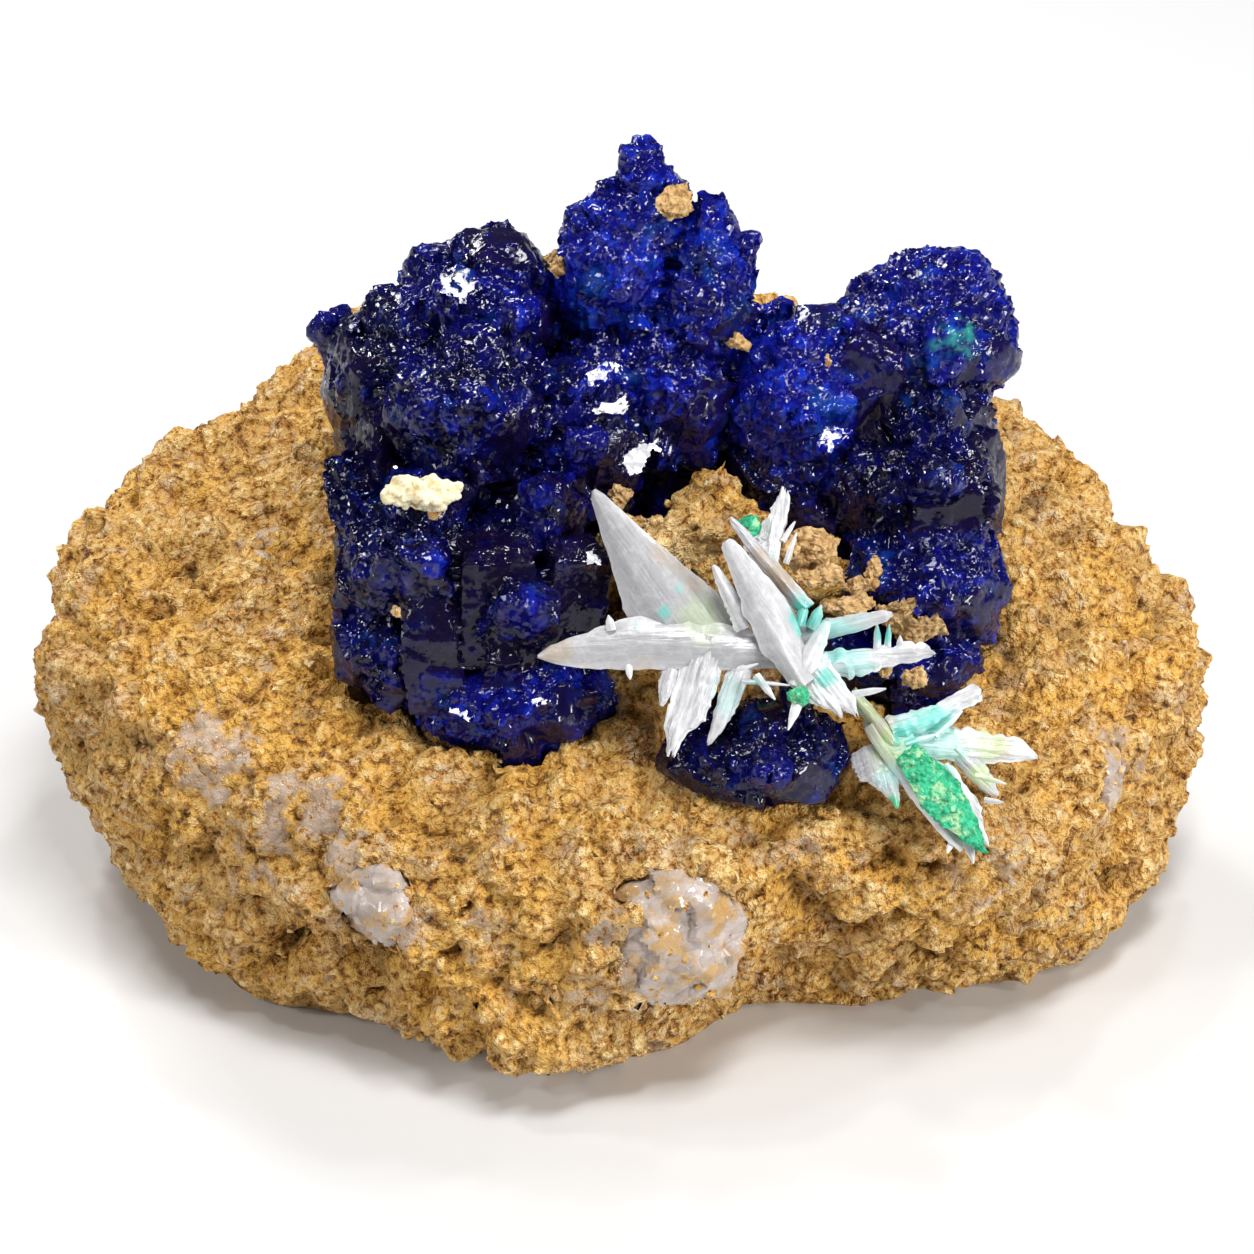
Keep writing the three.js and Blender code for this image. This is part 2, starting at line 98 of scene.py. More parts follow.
class Graph:
    """Builds one node tree, for a material or for a Geometry Nodes modifier."""

    def __init__(self, tree):
        self.tree = tree

    def node(self, kind, settings=None, sockets=(), out=0):
        made = self.tree.nodes.new(kind)
        for name, value in (settings or {}).items():
            setattr(made, name, value)
        pairs = sockets.items() if isinstance(sockets, dict) else enumerate(sockets)
        for key, value in pairs:
            self.put(made.inputs[key], value)
        return Wire(self, made.outputs[out]) if made.outputs else None

    def put(self, socket, value):
        if isinstance(value, Wire):
            self.tree.links.new(value.socket, socket)
        elif socket.type == "RGBA" and len(value) == 3:
            socket.default_value = (*value, 1)
        else:
            socket.default_value = value

    def vector(self, operation, *values, out=0):
        return self.node("ShaderNodeVectorMath", {"operation": operation}, values, out)

    def scaled(self, vector, factor):
        return self.node("ShaderNodeVectorMath", {"operation": "SCALE"}, {0: vector, "Scale": factor})

    def noise(self, size, detail=3, roughness=0.55, where=None, out=0):
        """Soft noise whose blotches are about `size` mm across."""
        sockets = {"Scale": 1 / (size * MM), "Detail": detail, "Roughness": roughness}
        sockets["Vector"] = where or self.place
        return self.node("ShaderNodeTexNoise", {}, sockets, out)

    def cells(self, size, where=None):
        """Cells about `size` mm across: the distance to the nearest middle."""
        sockets = {"Scale": 1 / (size * MM), "Vector": where or self.place}
        return self.node("ShaderNodeTexVoronoi", {}, sockets)

    def blend(self, first, second, mask):
        return self.node("ShaderNodeMix", {"data_type": "RGBA"}, {0: mask, 6: first, 7: second}, 2)

    def layered(self, body, palette, layers):
        """Colours of a palette laid over `body` one after another, each where its mask is."""
        for colour, mask in layers:
            body = self.blend(body, palette[colour], mask)
        return body

    def ball(self, place, reach):
        """1 in the middle of a ball round `place`, 0 outside it, with a ragged edge."""
        away = self.vector("DISTANCE", self.place, at(place), out=1) / (reach * MM)
        edge = (self.noise(reach * 0.5, 4) - 0.5) * (RAGGED * 2)
        return 1 - (away + edge).between(BALL_CORE, 1)


class Look(Graph):
    """A material built on one Principled shader."""

    def __init__(self, name, roughness, **constants):
        self.material = bpy.data.materials.new(name)
        self.material.use_nodes = True
        super().__init__(self.material.node_tree)
        self.tree.nodes.clear()
        self.place = self.node("ShaderNodeTexCoord", out=3)
        self.shader = self.tree.nodes.new("ShaderNodeBsdfPrincipled")
        result = self.tree.nodes.new("ShaderNodeOutputMaterial")
        self.tree.links.new(self.shader.outputs[0], result.inputs[0])
        self.put(self.shader.inputs["Roughness"], roughness)
        for socket, value in constants.items():
            self.put(self.shader.inputs[socket.replace("_", " ")], value)

    def attribute(self, name, out=2):
        """A value stored on the mesh: out 2 is a number, 1 a vector."""
        return self.node("ShaderNodeAttribute", {"attribute_name": name}, out=out)

    def colour(self, value):
        self.put(self.shader.inputs["Base Color"], value)

    def rough(self, value):
        self.put(self.shader.inputs["Roughness"], value)

    def bump(self, height, depth):
        """Relief of `depth` mm where `height` goes from 0 to 1."""
        sockets = {"Strength": 1, "Distance": depth * MM, "Height": height}
        self.put(self.shader.inputs["Normal"], self.node("ShaderNodeBump", {}, sockets))


class Growth(Graph):
    """A Geometry Nodes tree from one shape to another."""

    def __init__(self, name):
        tree = bpy.data.node_groups.new(name, "GeometryNodeTree")
        super().__init__(tree)
        for side in ("INPUT", "OUTPUT"):
            tree.interface.new_socket("Shape", in_out=side, socket_type="NodeSocketGeometry")
        self.shape = self.node("NodeGroupInput")
        self.place = self.node("GeometryNodeInputPosition")
        self.normal = self.node("GeometryNodeInputNormal")

    def named(self, name, kind="FLOAT"):
        return self.node("GeometryNodeInputNamedAttribute", {"data_type": kind}, {0: name})

    def store(self, shape, name, value, domain="POINT"):
        settings = {"data_type": "FLOAT", "domain": domain}
        return self.node("GeometryNodeStoreNamedAttribute", settings, {0: shape, 2: name, 3: value})

    def random(self, low, high, seed):
        return self.node("FunctionNodeRandomValue", {"data_type": "FLOAT"}, {2: low, 3: high, 8: seed}, 1)

    def random_vector(self, low, high, seed):
        settings = {"data_type": "FLOAT_VECTOR"}
        return self.node("FunctionNodeRandomValue", settings, {0: low, 1: high, 8: seed})

    def apply_to(self, piece, result):
        self.node("NodeGroupOutput", {}, [result])
        modifier = piece.modifiers.new("growth", "NODES")
        modifier.node_group = self.tree
        pick(piece)
        bpy.ops.object.modifier_apply(modifier=modifier.name)
        bpy.data.node_groups.remove(self.tree)


# ---- modelling by hand


def pick(*pieces):
    """Select these pieces and nothing else."""
    if bpy.context.object and bpy.context.object.mode != "OBJECT":
        bpy.ops.object.mode_set(mode="OBJECT")
    bpy.ops.object.select_all(action="DESELECT")
    for piece in pieces:
        piece.select_set(True)
    bpy.context.view_layer.objects.active = pieces[0]


def edit(piece, mode="FACE"):
    pick(piece)
    bpy.ops.object.mode_set(mode="EDIT")
    bpy.ops.mesh.select_mode(type=mode)


def done():
    bpy.ops.object.mode_set(mode="OBJECT")


def called(piece, name):
    piece.name = name
    piece.data.name = name
    return piece


def copy_of(node, name):
    """A merged copy of a CAD node, free to be reshaped."""
    pick(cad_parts[node])
    bpy.ops.object.duplicate()
    piece = bpy.context.object
    piece.parent = None
    for key in list(piece.keys()):
        del piece[key]
    edit(called(piece, name))
    bpy.ops.mesh.select_all(action="SELECT")
    bpy.ops.mesh.remove_doubles(threshold=1e-7)
    done()
    return piece


def twin(piece, name):
    """A copy of a made piece with its own mesh."""
    pick(piece)
    bpy.ops.object.duplicate()
    return called(bpy.context.object, name)


def drop(*pieces):
    for piece in pieces:
        bpy.data.objects.remove(piece, do_unlink=True)


def joined(name, pieces):
    pick(*pieces)
    bpy.ops.object.join()
    return called(bpy.context.object, name)


def finish(piece, look, smooth, stands_for=()):
    """Give a finished piece its material, smooth edges up to `smooth` degrees, and its place in the
    frame's table."""
    piece.data.materials.clear()
    piece.data.materials.append(look)
    pick(piece)
    bpy.ops.object.shade_smooth_by_angle(angle=math.radians(smooth))
    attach(piece, "root")
    if stands_for:
        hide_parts(*stands_for)


def fit_remesh(piece, voxel):
    piece.data.remesh_voxel_size = voxel * MM
    pick(piece)
    bpy.ops.object.voxel_remesh()


def merge_underside(piece):
    """Make a flat, hidden underside a few large faces."""
    straight_down = -0.96
    level = math.radians(4)
    edit(piece)
    bpy.ops.mesh.select_all(action="DESELECT")
    mesh = bmesh.from_edit_mesh(piece.data)
    for face in mesh.faces:
        face.select = face.normal.z < straight_down
    bmesh.update_edit_mesh(piece.data)
    bpy.ops.mesh.dissolve_limited(angle_limit=level)
    done()


# ---- patterns for shapes and materials


def facets(graph, place, size, lean, step):
    """Relief in mm of a surface broken into flat faces about `size` mm across, which lean by up to `lean`
    and stand up to `step` mm in or out. Gives the relief, and a number from 0 to 1 for each face."""
    sockets = {"Scale": 1 / (size * MM), "Vector": place}
    colour = graph.node("ShaderNodeTexVoronoi", {}, sockets, 1)
    tilt = graph.vector("SUBTRACT", colour, (0.5, 0.5, 0.5))
    away = graph.vector("SUBTRACT", place, colour.beside(2))
    slope = graph.vector("DOT_PRODUCT", away, tilt, out=1) * (2 * lean / MM)
    number = graph.node("ShaderNodeSeparateXYZ", {}, [colour], 0)
    return slope + (number - 0.5) * (2 * step), number


def drawn_out(graph, place, direction, factor):
    """A place squeezed along `direction`, so that a pattern read there comes out `factor` times longer."""
    along = graph.vector("DOT_PRODUCT", place, direction, out=1)
    return graph.vector("SUBTRACT", place, graph.scaled(direction, along * (1 - 1 / factor)))


def raise_skin(growth, piece, height, **kept):
    """Push a skin out by `height` mm. Remember that as `relief`, and the other values by their names."""
    shape = growth.shape
    for name, value in {"relief": height, **kept}.items():
        shape = growth.store(shape, name, value)
    offset = growth.scaled(growth.normal, growth.named("relief") * MM)
    growth.apply_to(piece, growth.node("GeometryNodeSetPosition", {}, {0: shape, 3: offset}))


def strongest(graph, spots):
    """The strongest of several stained spots: middle, reach in mm, strength."""
    place, reach, strength = spots[0]
    found = graph.ball(place, reach) * strength
    for place, reach, strength in spots[1:]:
        found = found.most(graph.ball(place, reach) * strength)
    return found


def standing(growth, low=0.2, high=1.2):
    """0 at the level that the specimen rests on, 1 from `high` mm above it."""
    level = growth.node("ShaderNodeSeparateXYZ", {}, [growth.place], 2)
    return level.between(low * MM, high * MM)


# ---- rock

# Many places and widths in the tables of blades, splinters, stains, glints and clots below were worked out
# elsewhere and typed in.

QUARTZ_STAINS = [  # places where the rock shows its quartz through a lace of sand: middle, reach, strength
    ([-27.5, -12.6, 20.5], 5, 0.66), ([-21, -17, 19.5], 4.2, 0.66), ([-24, -17.5, 15.5], 4.6, 0.6),
    ([-18, -19.5, 17.5], 3, 0.7), ([-16, -22, 14.5], 5, 0.55), ([-25, 2.5, 26.8], 3.4, 0.55),
    ([3, -24.5, 14.5], 8, 0.6), ([-1, -25.5, 10.5], 5, 0.5), ([11, -20.4, 17.4], 3.2, 0.55),
    ([-10.8, -23.4, 14], 3.6, 0.5), ([23.6, -20, 15.5], 4.2, 0.55), ([33, -9, 16.5], 4.6, 0.6),
]
TAN_AND_LIGHT_SPOTS = [([1, -7.4, 33], 6, 1), ([8, -8.5, 33], 3.5, 0.8)]  # paler tan rock by the white blades: partly its own tan, partly painted light against the shade there
QUARTZ = {"quartz_front": 10, "quartz_left": 5.8, "quartz_right": 3.8}  # mm that the hugging crust reaches
ROCK_VOXEL = 0.38  # mm, the rock skin's own mesh
ROCK_SUNK = 0.3  # mm that the skin lies under the rock's outline, for the crumbs on it to reach it
ROCK_FORMS = {"lump": 5.5, "clod": 2.8, "nugget": 1.5, "grit": 0.9, "pore": 1.5, "hollow": 4.6}  # mm across
SAND_GRAIN = 0.72  # mm


def heart(node):
    """The middle of a CAD piece, as a place in the specimen."""
    low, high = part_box(node)
    return (low + high) / (2 * MM) - SHIFT


def quartz_showing(graph):
    """How thin the sandy crust is, and 1 where the rock is bare quartzite without it."""
    thin = strongest(graph, QUARTZ_STAINS).most(graph.noise(6, 4, 0.6).between(0.58, 0.68) * 0.55)
    return thin, (thin + (graph.noise(1.6, 4, 0.75) - 0.5) * 1.7).between(0.54, 0.64)


def cobbles(graph, size, where):
    """Rounded lumps about `size` mm across, from 0.3 at their tops to -0.4 in the gaps between them."""
    away = graph.cells(size, where=where)
    return 0.3 - away * away


def rock_relief(graph, thin, quartz):
    """The rock's lumps, clods, crumbs and pits, fewer where its crust is `thin` or bare `quartz` shows."""
    wander = graph.vector("ADD", graph.place, graph.scaled(graph.noise(3, 3, out=1), 1.6 * MM))
    lumps = (graph.noise(ROCK_FORMS["lump"], 2) - 0.5) * 3
    clods = cobbles(graph, ROCK_FORMS["clod"], wander) * 2.4
    nuggets = cobbles(graph, ROCK_FORMS["nugget"], wander) * 0.6
    nuggets = nuggets + cobbles(graph, ROCK_FORMS["grit"], wander) * 0.7
    pores = graph.noise(ROCK_FORMS["pore"], 2, where=wander).between(0.6, 0.68) * -0.9
    hollows = graph.noise(ROCK_FORMS["hollow"], 2, where=wander).between(0.62, 0.7) * -1.5
    hugged = strongest(graph, [(heart(node), reach, 0.6) for node, reach in QUARTZ.items()])
    broad = lumps + (clods + hollows) * (1 - thin) + thin * 0.3 + hugged
    return broad + (nuggets + pores) * (1 - quartz * 0.8) - ROCK_SUNK


def make_crumb(name, corners):
    """One crumb of sandstone 1 mm across, knocked out of round."""
    if corners == 12:
        bpy.ops.mesh.primitive_ico_sphere_add(subdivisions=1, radius=0.5 * MM)
    else:
        bpy.ops.mesh.primitive_cube_add(size=0.72 * MM)
    crumb = bpy.context.object
    crumb.name = name
    edit(crumb, "VERT")
    bpy.ops.mesh.select_all(action="SELECT")
    bpy.ops.transform.vertex_random(offset=0.12 * MM, seed=3)
    done()
    return crumb


def scatter_crumbs(sand, skin, crumb, name, spacing, sizes, number, low=0.4):
    """Crumbs half sunk in a skin, in loose patches where soft noise is over `low`. `number` is the first of
    their random seeds."""
    piece = twin(skin, name)
    growth = Growth(name)
    patchy = growth.noise(2.4, 3).between(low, low + 0.2)
    cover = standing(growth, 0.6, 1) * (1 - growth.named("quartz") * 0.9) * patchy
    sockets = {0: growth.shape, "Distance Min": spacing * MM, "Density Max": 1e8, "Density Factor": cover}
    settings = {"distribute_method": "POISSON"}
    points = growth.node("GeometryNodeDistributePointsOnFaces", settings, {**sockets, "Seed": number})
    normal = points.beside(1)
    turn = growth.random_vector((0, 0, 0), (math.tau, math.tau, math.tau), number + 1)
    size = growth.random(sizes[0] ** 0.5, sizes[1] ** 0.5, number + 2) ** 2
    shape = growth.scaled(growth.random_vector((0.7, 0.7, 0.7), (1.3, 1.3, 1.3), number + 3), size)
    sunk = growth.scaled(normal, -0.3 * sizes[1] * MM)
    points = growth.node("GeometryNodeSetPosition", {}, {0: points, 3: sunk})
    body = growth.node("GeometryNodeObjectInfo", {}, [crumb], 4)
    crowd = growth.node("GeometryNodeInstanceOnPoints", {}, {0: points, 2: body, 5: turn, 6: shape})
    crowd = growth.store(crowd, "tone", growth.random(0, 1, number + 4), "INSTANCE")
    growth.apply_to(piece, growth.node("GeometryNodeRealizeInstances", {}, [crowd]))
    finish(piece, sand, smooth=70)


SAND = {
    "pale_and_highlight": (0.96, 0.72, 0.34),
    "tan_and_painted_light": (1, 0.72, 0.34),
    "gold": (0.80, 0.45, 0.085),
    "tan": (0.68, 0.43, 0.145),
    "amber": (0.52, 0.225, 0.025),
    "rust": (0.21, 0.078, 0.009),
    # the darkest brown is painted shade, for the deepest gaps, the pores and the hollows
    "painted_shade": (0.06, 0.027, 0.006),
    "grey": (0.22, 0.16, 0.12),
    "lilac": (0.52, 0.42, 0.35),
}


def sand_look():
    """Crumbly iron-stained sandstone: grains with amber gaps and nearly black pores between them. The gaps
    and pores are deepened, and the hollows darkened, as painted shade; raised parts are paler as a painted
    highlight.
    """
    look = Look("sandstone", roughness=0.7, Specular_IOR_Level=0.5)
    tone = look.attribute("tone")
    quartz = look.attribute("quartz")
    tan_and_painted_light = look.attribute("tan_and_painted_light")
    relief = look.attribute("relief") + ROCK_SUNK
    wander = look.vector("ADD", look.place, look.scaled((1, -0.8, 0.6), look.attribute("wander") * MM))
    grain = look.cells(SAND_GRAIN, where=wander)
    number = look.node("ShaderNodeSeparateXYZ", {}, [grain.beside(1)], 0)
    fine = look.noise(0.4, 2, 0.8) - 0.5
    # gaps between the grains: the amber and rust of real iron stain, deepened there as painted shade
    gap_stain_and_shade = grain * 0.66 - fine * 1.45 - tan_and_painted_light * 0.12 + 0.18
    # paler grains at random, paler on raised parts as a painted highlight, and less pale in the gaps
    pale_and_highlight = tone * 0.35 + number * 0.45 + relief.between(-0.4, 0.9) * 0.35 - (gap_stain_and_shade - 0.5) * 0.6
    bare = look.blend(SAND["grey"], SAND["lilac"], look.attribute("clouds"))
    layers = [
        ("tan", look.attribute("tanned") * 0.85),
        ("pale_and_highlight", pale_and_highlight.between(0.45, 0.95) * 0.9),
        ("lilac", look.attribute("dusty") * 0.55),
        ("bare", quartz * 0.9),
        # paler tan by the white blades, partly the rock's own tan and partly painted light against the shade
        # there
        ("tan_and_painted_light", tan_and_painted_light * 0.85),
        ("amber", gap_stain_and_shade.between(0.42, 0.66) * (0.8 - quartz * 0.55)),
        ("rust", gap_stain_and_shade.between(0.66, 0.82) * (0.8 - quartz * 0.4)),
        ("painted_shade", gap_stain_and_shade.between(0.84, 0.94) * 0.75),
        # painted shade: darker where the skin lies low, in its hollows
        ("painted_shade", (0 - relief).between(0.6, 2.1) * 0.75),
    ]
    look.colour(look.layered(SAND["gold"], {**SAND, "bare": bare}, layers))
    look.rough(0.8 - number.between(0.5, 1) * 0.5 - quartz * 0.3)
    look.bump((fine * 0.9 - grain * grain * 0.8) * (1 - quartz * 0.6), 0.65)
    return look.material


CRUMB_LAYERS = [  # corners of a crumb, mm between crumbs, their sizes, and the first of their random seeds
    (12, 0.95, (0.5, 1), 50),
    (8, 0.68, (0.3, 0.68), 60),
]


def make_rock(sand):
    skin = copy_of("matrix_rock", "rock_skin")
    fit_remesh(skin, ROCK_VOXEL)
    merge_underside(skin)
    growth = Growth("rock_relief")
    thin, quartz = quartz_showing(growth)
    relief = rock_relief(growth, thin, quartz) * standing(growth)
    kept = {
        "quartz": quartz,
        "tan_and_painted_light": strongest(growth, TAN_AND_LIGHT_SPOTS),
        "tanned": growth.noise(8, 4).between(0.42, 0.6),
        "dusty": growth.noise(2.2, 4, 0.65).between(0.52, 0.64),
        "clouds": growth.noise(1.4, 4, 0.7).between(0.4, 0.62),
        "wander": growth.noise(1.2, 2) - 0.5,
    }
    raise_skin(growth, skin, relief, **kept)
    for layer, (corners, spacing, sizes, seed) in enumerate(CRUMB_LAYERS):
        crumb = make_crumb(f"crumb_{layer}", corners)
        scatter_crumbs(sand, skin, crumb, f"rock_crumbs_{layer}", spacing, sizes, seed)
        drop(crumb)
    finish(skin, sand, smooth=50, stands_for=["matrix_rock"])


# ---- azurite

# Rosettes of the group: middle, half sizes, how bright a blue they show, how far their crystals point
# outwards instead of up, and how coarse they are.
ROSETTES = [
    ([-9.8, 6, 43.6], [5.9, 5.8, 5.5], 0.4, 0.3, 1.1),
    ([-15.4, 4, 39], [5.2, 6.4, 7], 0.1, 0.15, 1.3),
    ([-10.3, -0.6, 40], [6.4, 6.2, 6], 0.25, 0.3, 1.1),
    ([-3.6, -1, 38], [5.8, 5.4, 5.6], 0.3, 0.3, 1.1),
    ([-14, -6.6, 31.2], [6, 6.2, 7], 0.1, 0.15, 1.3),
    ([-15, -9.2, 27], [5, 4.4, 4.2], 0.4, 0.4, 1),
    ([-7.8, -8.4, 29.6], [6.4, 6, 7.2], 0.05, 0.15, 1.4),
    ([-7.4, -11.4, 24.6], [7.2, 5.2, 4.2], 0.6, 0.5, 0.8),
    ([0, 5, 46.8], [5.1, 5, 6.8], 0.9, 0.35, 0.8),
    ([1, 4.8, 50.6], [3.9, 3.4, 4.6], 0.8, 0.35, 0.9),
    ([4.8, 3, 45.4], [3.8, 3.8, 6.4], 0.7, 0.35, 0.9),
    ([1.6, 2, 39.6], [6.6, 5.2, 6.2], 0.6, 0.35, 0.9),
    ([11.4, 1, 39.2], [5.4, 4.8, 6], 0.9, 0.5, 0.8),
    ([19.9, 4.8, 42.3], [6.2, 6, 5.7], 0.6, 0.9, 0.8),
    ([20, 2, 38.4], [5, 4.6, 4.6], 0.25, 0.5, 1),
    ([18.8, -1.5, 35], [6.2, 5.2, 5.6], 0, 0.35, 1.3),
    ([19.4, -5, 29], [6.2, 5.8, 5.8], 0.35, 0.5, 1),
    ([18, -8.2, 25.2], [6, 4.4, 3.4], 0.4, 0.6, 0.9),
    ([12, 0.6, 34.4], [6, 4.8, 5.6], 0.4, 0.4, 0.9),
    ([8.2, -16.4, 23.2], [6.6, 4.6, 3.8], 0.05, 0.8, 0.9),
]
# Big flat crystals, whose skin stays plain: root, direction, facing, and width, thickness and length.
BOLD_CRYSTALS = [
    ([-8.4, -12, 27.6], [0, 0.2, 1], [0.1, -1, 0.3], [4.8, 4.4, 8]),
    ([-4.4, -11, 27.4], [0.15, 0.2, 1], [0.35, -1, 0.2], [4, 4, 8]),
    ([-12, -13, 24.6], [-0.1, 0.1, 1], [-0.2, -1, 0.35], [3.8, 3.4, 8]),
    ([-8.4, -13.4, 23], [0.05, 0, 1], [0.1, -1, 0.3], [2.4, 3, 7]),
    ([-17.8, -3, 27], [0.1, 0.05, 1], [-1, -0.5, 0.1], [3.4, 1.8, 13]),
    ([-18, 1, 33], [0.02, 0, 1], [-1, -0.4, 0], [4, 1.8, 10.4]),
    ([-15.6, 4, 36], [0.12, 0, 1], [-1, -0.6, 0.1], [4, 1.8, 8.8]),
    ([14.2, -0.6, 38], [0.4, 0, 1], [-0.1, -1, 0.7], [4.4, 2.4, 7]),
    ([12.6, 2.4, 39.6], [0.05, 0, 1], [0.3, -1, 0.2], [3.4, 3, 5.8]),
    ([20.2, -5.4, 30], [0.1, 0.1, 1], [0.2, -1, 0.4], [4.6, 3, 8]),
    ([23.4, -2, 30], [0.02, 0.1, 1], [1, -0.6, 0.1], [4, 1.8, 8]),
    ([-8.8, 5.6, 43], [0.1, 0, 1], [0.2, -1, 0.2], [4.2, 4, 5.8]),
]
AZURITE_VOXEL = 0.27  # mm, the azurite skin's own mesh


def crystal_axes(along, face):
    """The directions of a crystal's width, length and thickness."""
    y = Vector(along).normalized()
    x = y.cross(Vector(face)).normalized()
    return x, y, x.cross(y)


def inside_bold(places):
    """True for the places that lie on or in one of the big flat crystals."""
    found = np.zeros(len(places), bool)
    for root, along, face, (width, thickness, length) in BOLD_CRYSTALS:
        x, y, z = (np.array(axis) for axis in crystal_axes(along, face))
        local = places - np.array(at(root)) / MM
        near = np.abs(local @ x) < width / 2 + 0.2
        near &= np.abs(local @ z) < thickness / 2 + 0.2
        near &= (local @ y > 0) & (local @ y < length + 0.2)
        found |= near
    return found


def keep(piece, name, values):
    """Store a number or a vector on each point of a piece."""
    kind, field = ("FLOAT_VECTOR", "vector") if values.ndim == 2 else ("FLOAT", "value")
    held = piece.data.attributes.new(name, kind, "POINT")
    held.data.foreach_set(field, values.astype(np.float32).ravel())


def points_of(piece):
    """The piece's points, in millimetres."""
    places = np.empty(len(piece.data.vertices) * 3, np.float32)
    piece.data.vertices.foreach_get("co", places)
    return places.reshape(-1, 3) / MM


def plan_growth(skin):
    """Store on each point which rosette it belongs to: where crystals start, where they point, how
    bright and how coarse they are."""
    places = points_of(skin)
    best = np.full(len(places), np.inf)
    middles, growth = np.zeros((2, len(places), 3))
    glow, grain = np.zeros((2, len(places)))
    for middle, radii, bright, outwards, coarse in ROSETTES:
        centre = np.array(at(middle)) / MM
        away = (places - centre) / np.array(radii)
        distance = np.linalg.norm(away, axis=1)
        closer = distance < best
        best = np.where(closer, distance, best)
        out = away / np.maximum(distance, 1e-6)[:, None]
        middles[closer] = centre * MM
        growth[closer] = (outwards * out + (1 - outwards) * (0.35 * out + np.array((0, 0, 1))))[closer]
        glow[closer] = bright
        grain[closer] = coarse
    growth /= np.linalg.norm(growth, axis=1)[:, None]
    kept = {"middle": middles, "growth": growth, "glow": glow, "grain": grain, "bare": inside_bold(places)}
    for name, values in kept.items():
        keep(skin, name, values)


BUDS = {"size": 4.6, "height": 1.9}  # mm, the rounded buds that a rosette is crowded with
AZURITE_FACES = [  # width of the crystals in mm, how much longer they are, their lean and their step
    (3.2, 1.8, 0.2, 0.28),
    (1.2, 1.9, 0.28, 0.11),
    (0.55, 1.7, 0.38, 0.055),
]


def facet_azurite(skin):
    """Break a rosette's skin into the flat faces of crystals that grow out of its middle."""
    growth = Growth(skin.name + "_relief")
    local = growth.vector("SUBTRACT", growth.place, growth.named("middle", "FLOAT_VECTOR"))
    local = growth.scaled(local, 1 / growth.named("grain"))
    direction = growth.named("growth", "FLOAT_VECTOR")
    layers = [
        facets(growth, drawn_out(growth, local, direction, longer), width, lean, step)
        for width, longer, lean, step in AZURITE_FACES
    ]
    (broad, pick_broad), (middling, _), (small, tone) = layers
    swell = 0.42 - growth.cells(BUDS["size"], where=drawn_out(growth, local, direction, 1.3))
    swell = swell * (1 - growth.named("glow") * 0.8) * BUDS["height"]
    least = growth.named("glow") * 0.5 + 0.5
    bare = growth.named("bare")
    flat = bare.most(pick_broad.between(least, least + 0.03))
    height = (swell + broad) * (1 - bare * 0.8) + (middling + small) * (1 - flat * 0.7)
    kept = {
        "tone": tone,
        "flat": flat * growth.noise(1.2, 3).between(0.3, 0.5),
        "stain": strongest(growth, GREEN_STAINS) * growth.noise(0.9, 4, 0.75).between(0.45, 0.55),
        "clouds": growth.noise(2.4, 3).between(0.35, 0.7),
        "azure": growth.noise(3, 3).between(0.57, 0.68),
        "coat": growth.noise(1.6, 4, 0.7).between(0.52, 0.56),
    }
    raise_skin(growth, skin, height, **kept)


def level_faces(skin):
    """Level patches of the skin into flat faces that look one way, as the faces of parallel crystals do."""
    growth = Growth(skin.name + "_faces")
    marks = depth = 0
    for place, reach, bright in GLINTS:
        mask = growth.ball(place, reach).between(0.15, 0.35)
        away = growth.vector("SUBTRACT", growth.place, at(place))
        depth = mask * growth.vector("DOT_PRODUCT", away, GLINT_FACE, out=1) + depth
        marks = (mask * bright).most(marks)
    shape = growth.store(growth.shape, "glint", marks)
    offset = growth.scaled(GLINT_FACE, 0 - depth)
    growth.apply_to(skin, growth.node("GeometryNodeSetPosition", {}, {0: shape, 3: offset}))


BLUE = {
    # painted shade for the hollows
    "hollow_shade": (0.0008, 0.0008, 0.006),
    "deep": (0.0015, 0.0012, 0.03),
    "royal": (0.003, 0.004, 0.19),
    "bright": (0.006, 0.035, 0.52),
    "slate": (0.006, 0.0025, 0.016),
    "azure": (0.004, 0.06, 0.34),
    "stain": (0.03, 0.30, 0.26),
}
GLINT_FACE = Vector((0.08, -0.58, 0.81))  # the way that the azurite's biggest bright faces look
GLINTS = [  # those faces: middle, reach in mm, how mirror-bright
    ([-11.2, 1.8, 47.5], 1.9, 1), ([-1.4, -2.6, 43], 1.9, 1), ([-0.8, -3.6, 41.7], 1.7, 1),
    ([1, -4, 37.8], 2, 1), ([13.3, -3.2, 38.8], 1.8, 1), ([16.5, -5.4, 37.9], 1, 0.8),
    ([-10.8, -16, 25.6], 1.2, 1), ([-5.6, -15.7, 26.8], 1, 1), ([-2.5, -14.5, 26.7], 1.1, 1),
    ([-2, -11.4, 34.8], 1.2, 0.7), ([-18.4, 1.8, 44.2], 1.1, 0.8),
    ([6.1, -1.5, 42.7], 1, 0.7), ([-8.2, -16.8, 24.3], 0.9, 1),
]
GREEN_STAINS = [
    ([21.9, -1, 45], 2, 0.8), ([20.4, -1.5, 44.4], 1.4, 0.7), ([22.6, -0.8, 46.4], 1.6, 0.5),
    ([23.4, -1, 44.2], 1.4, 0.5), ([-22.6, -7.4, 33], 1.2, 0.6), ([9, -14, 25.6], 1, 0.5),
]


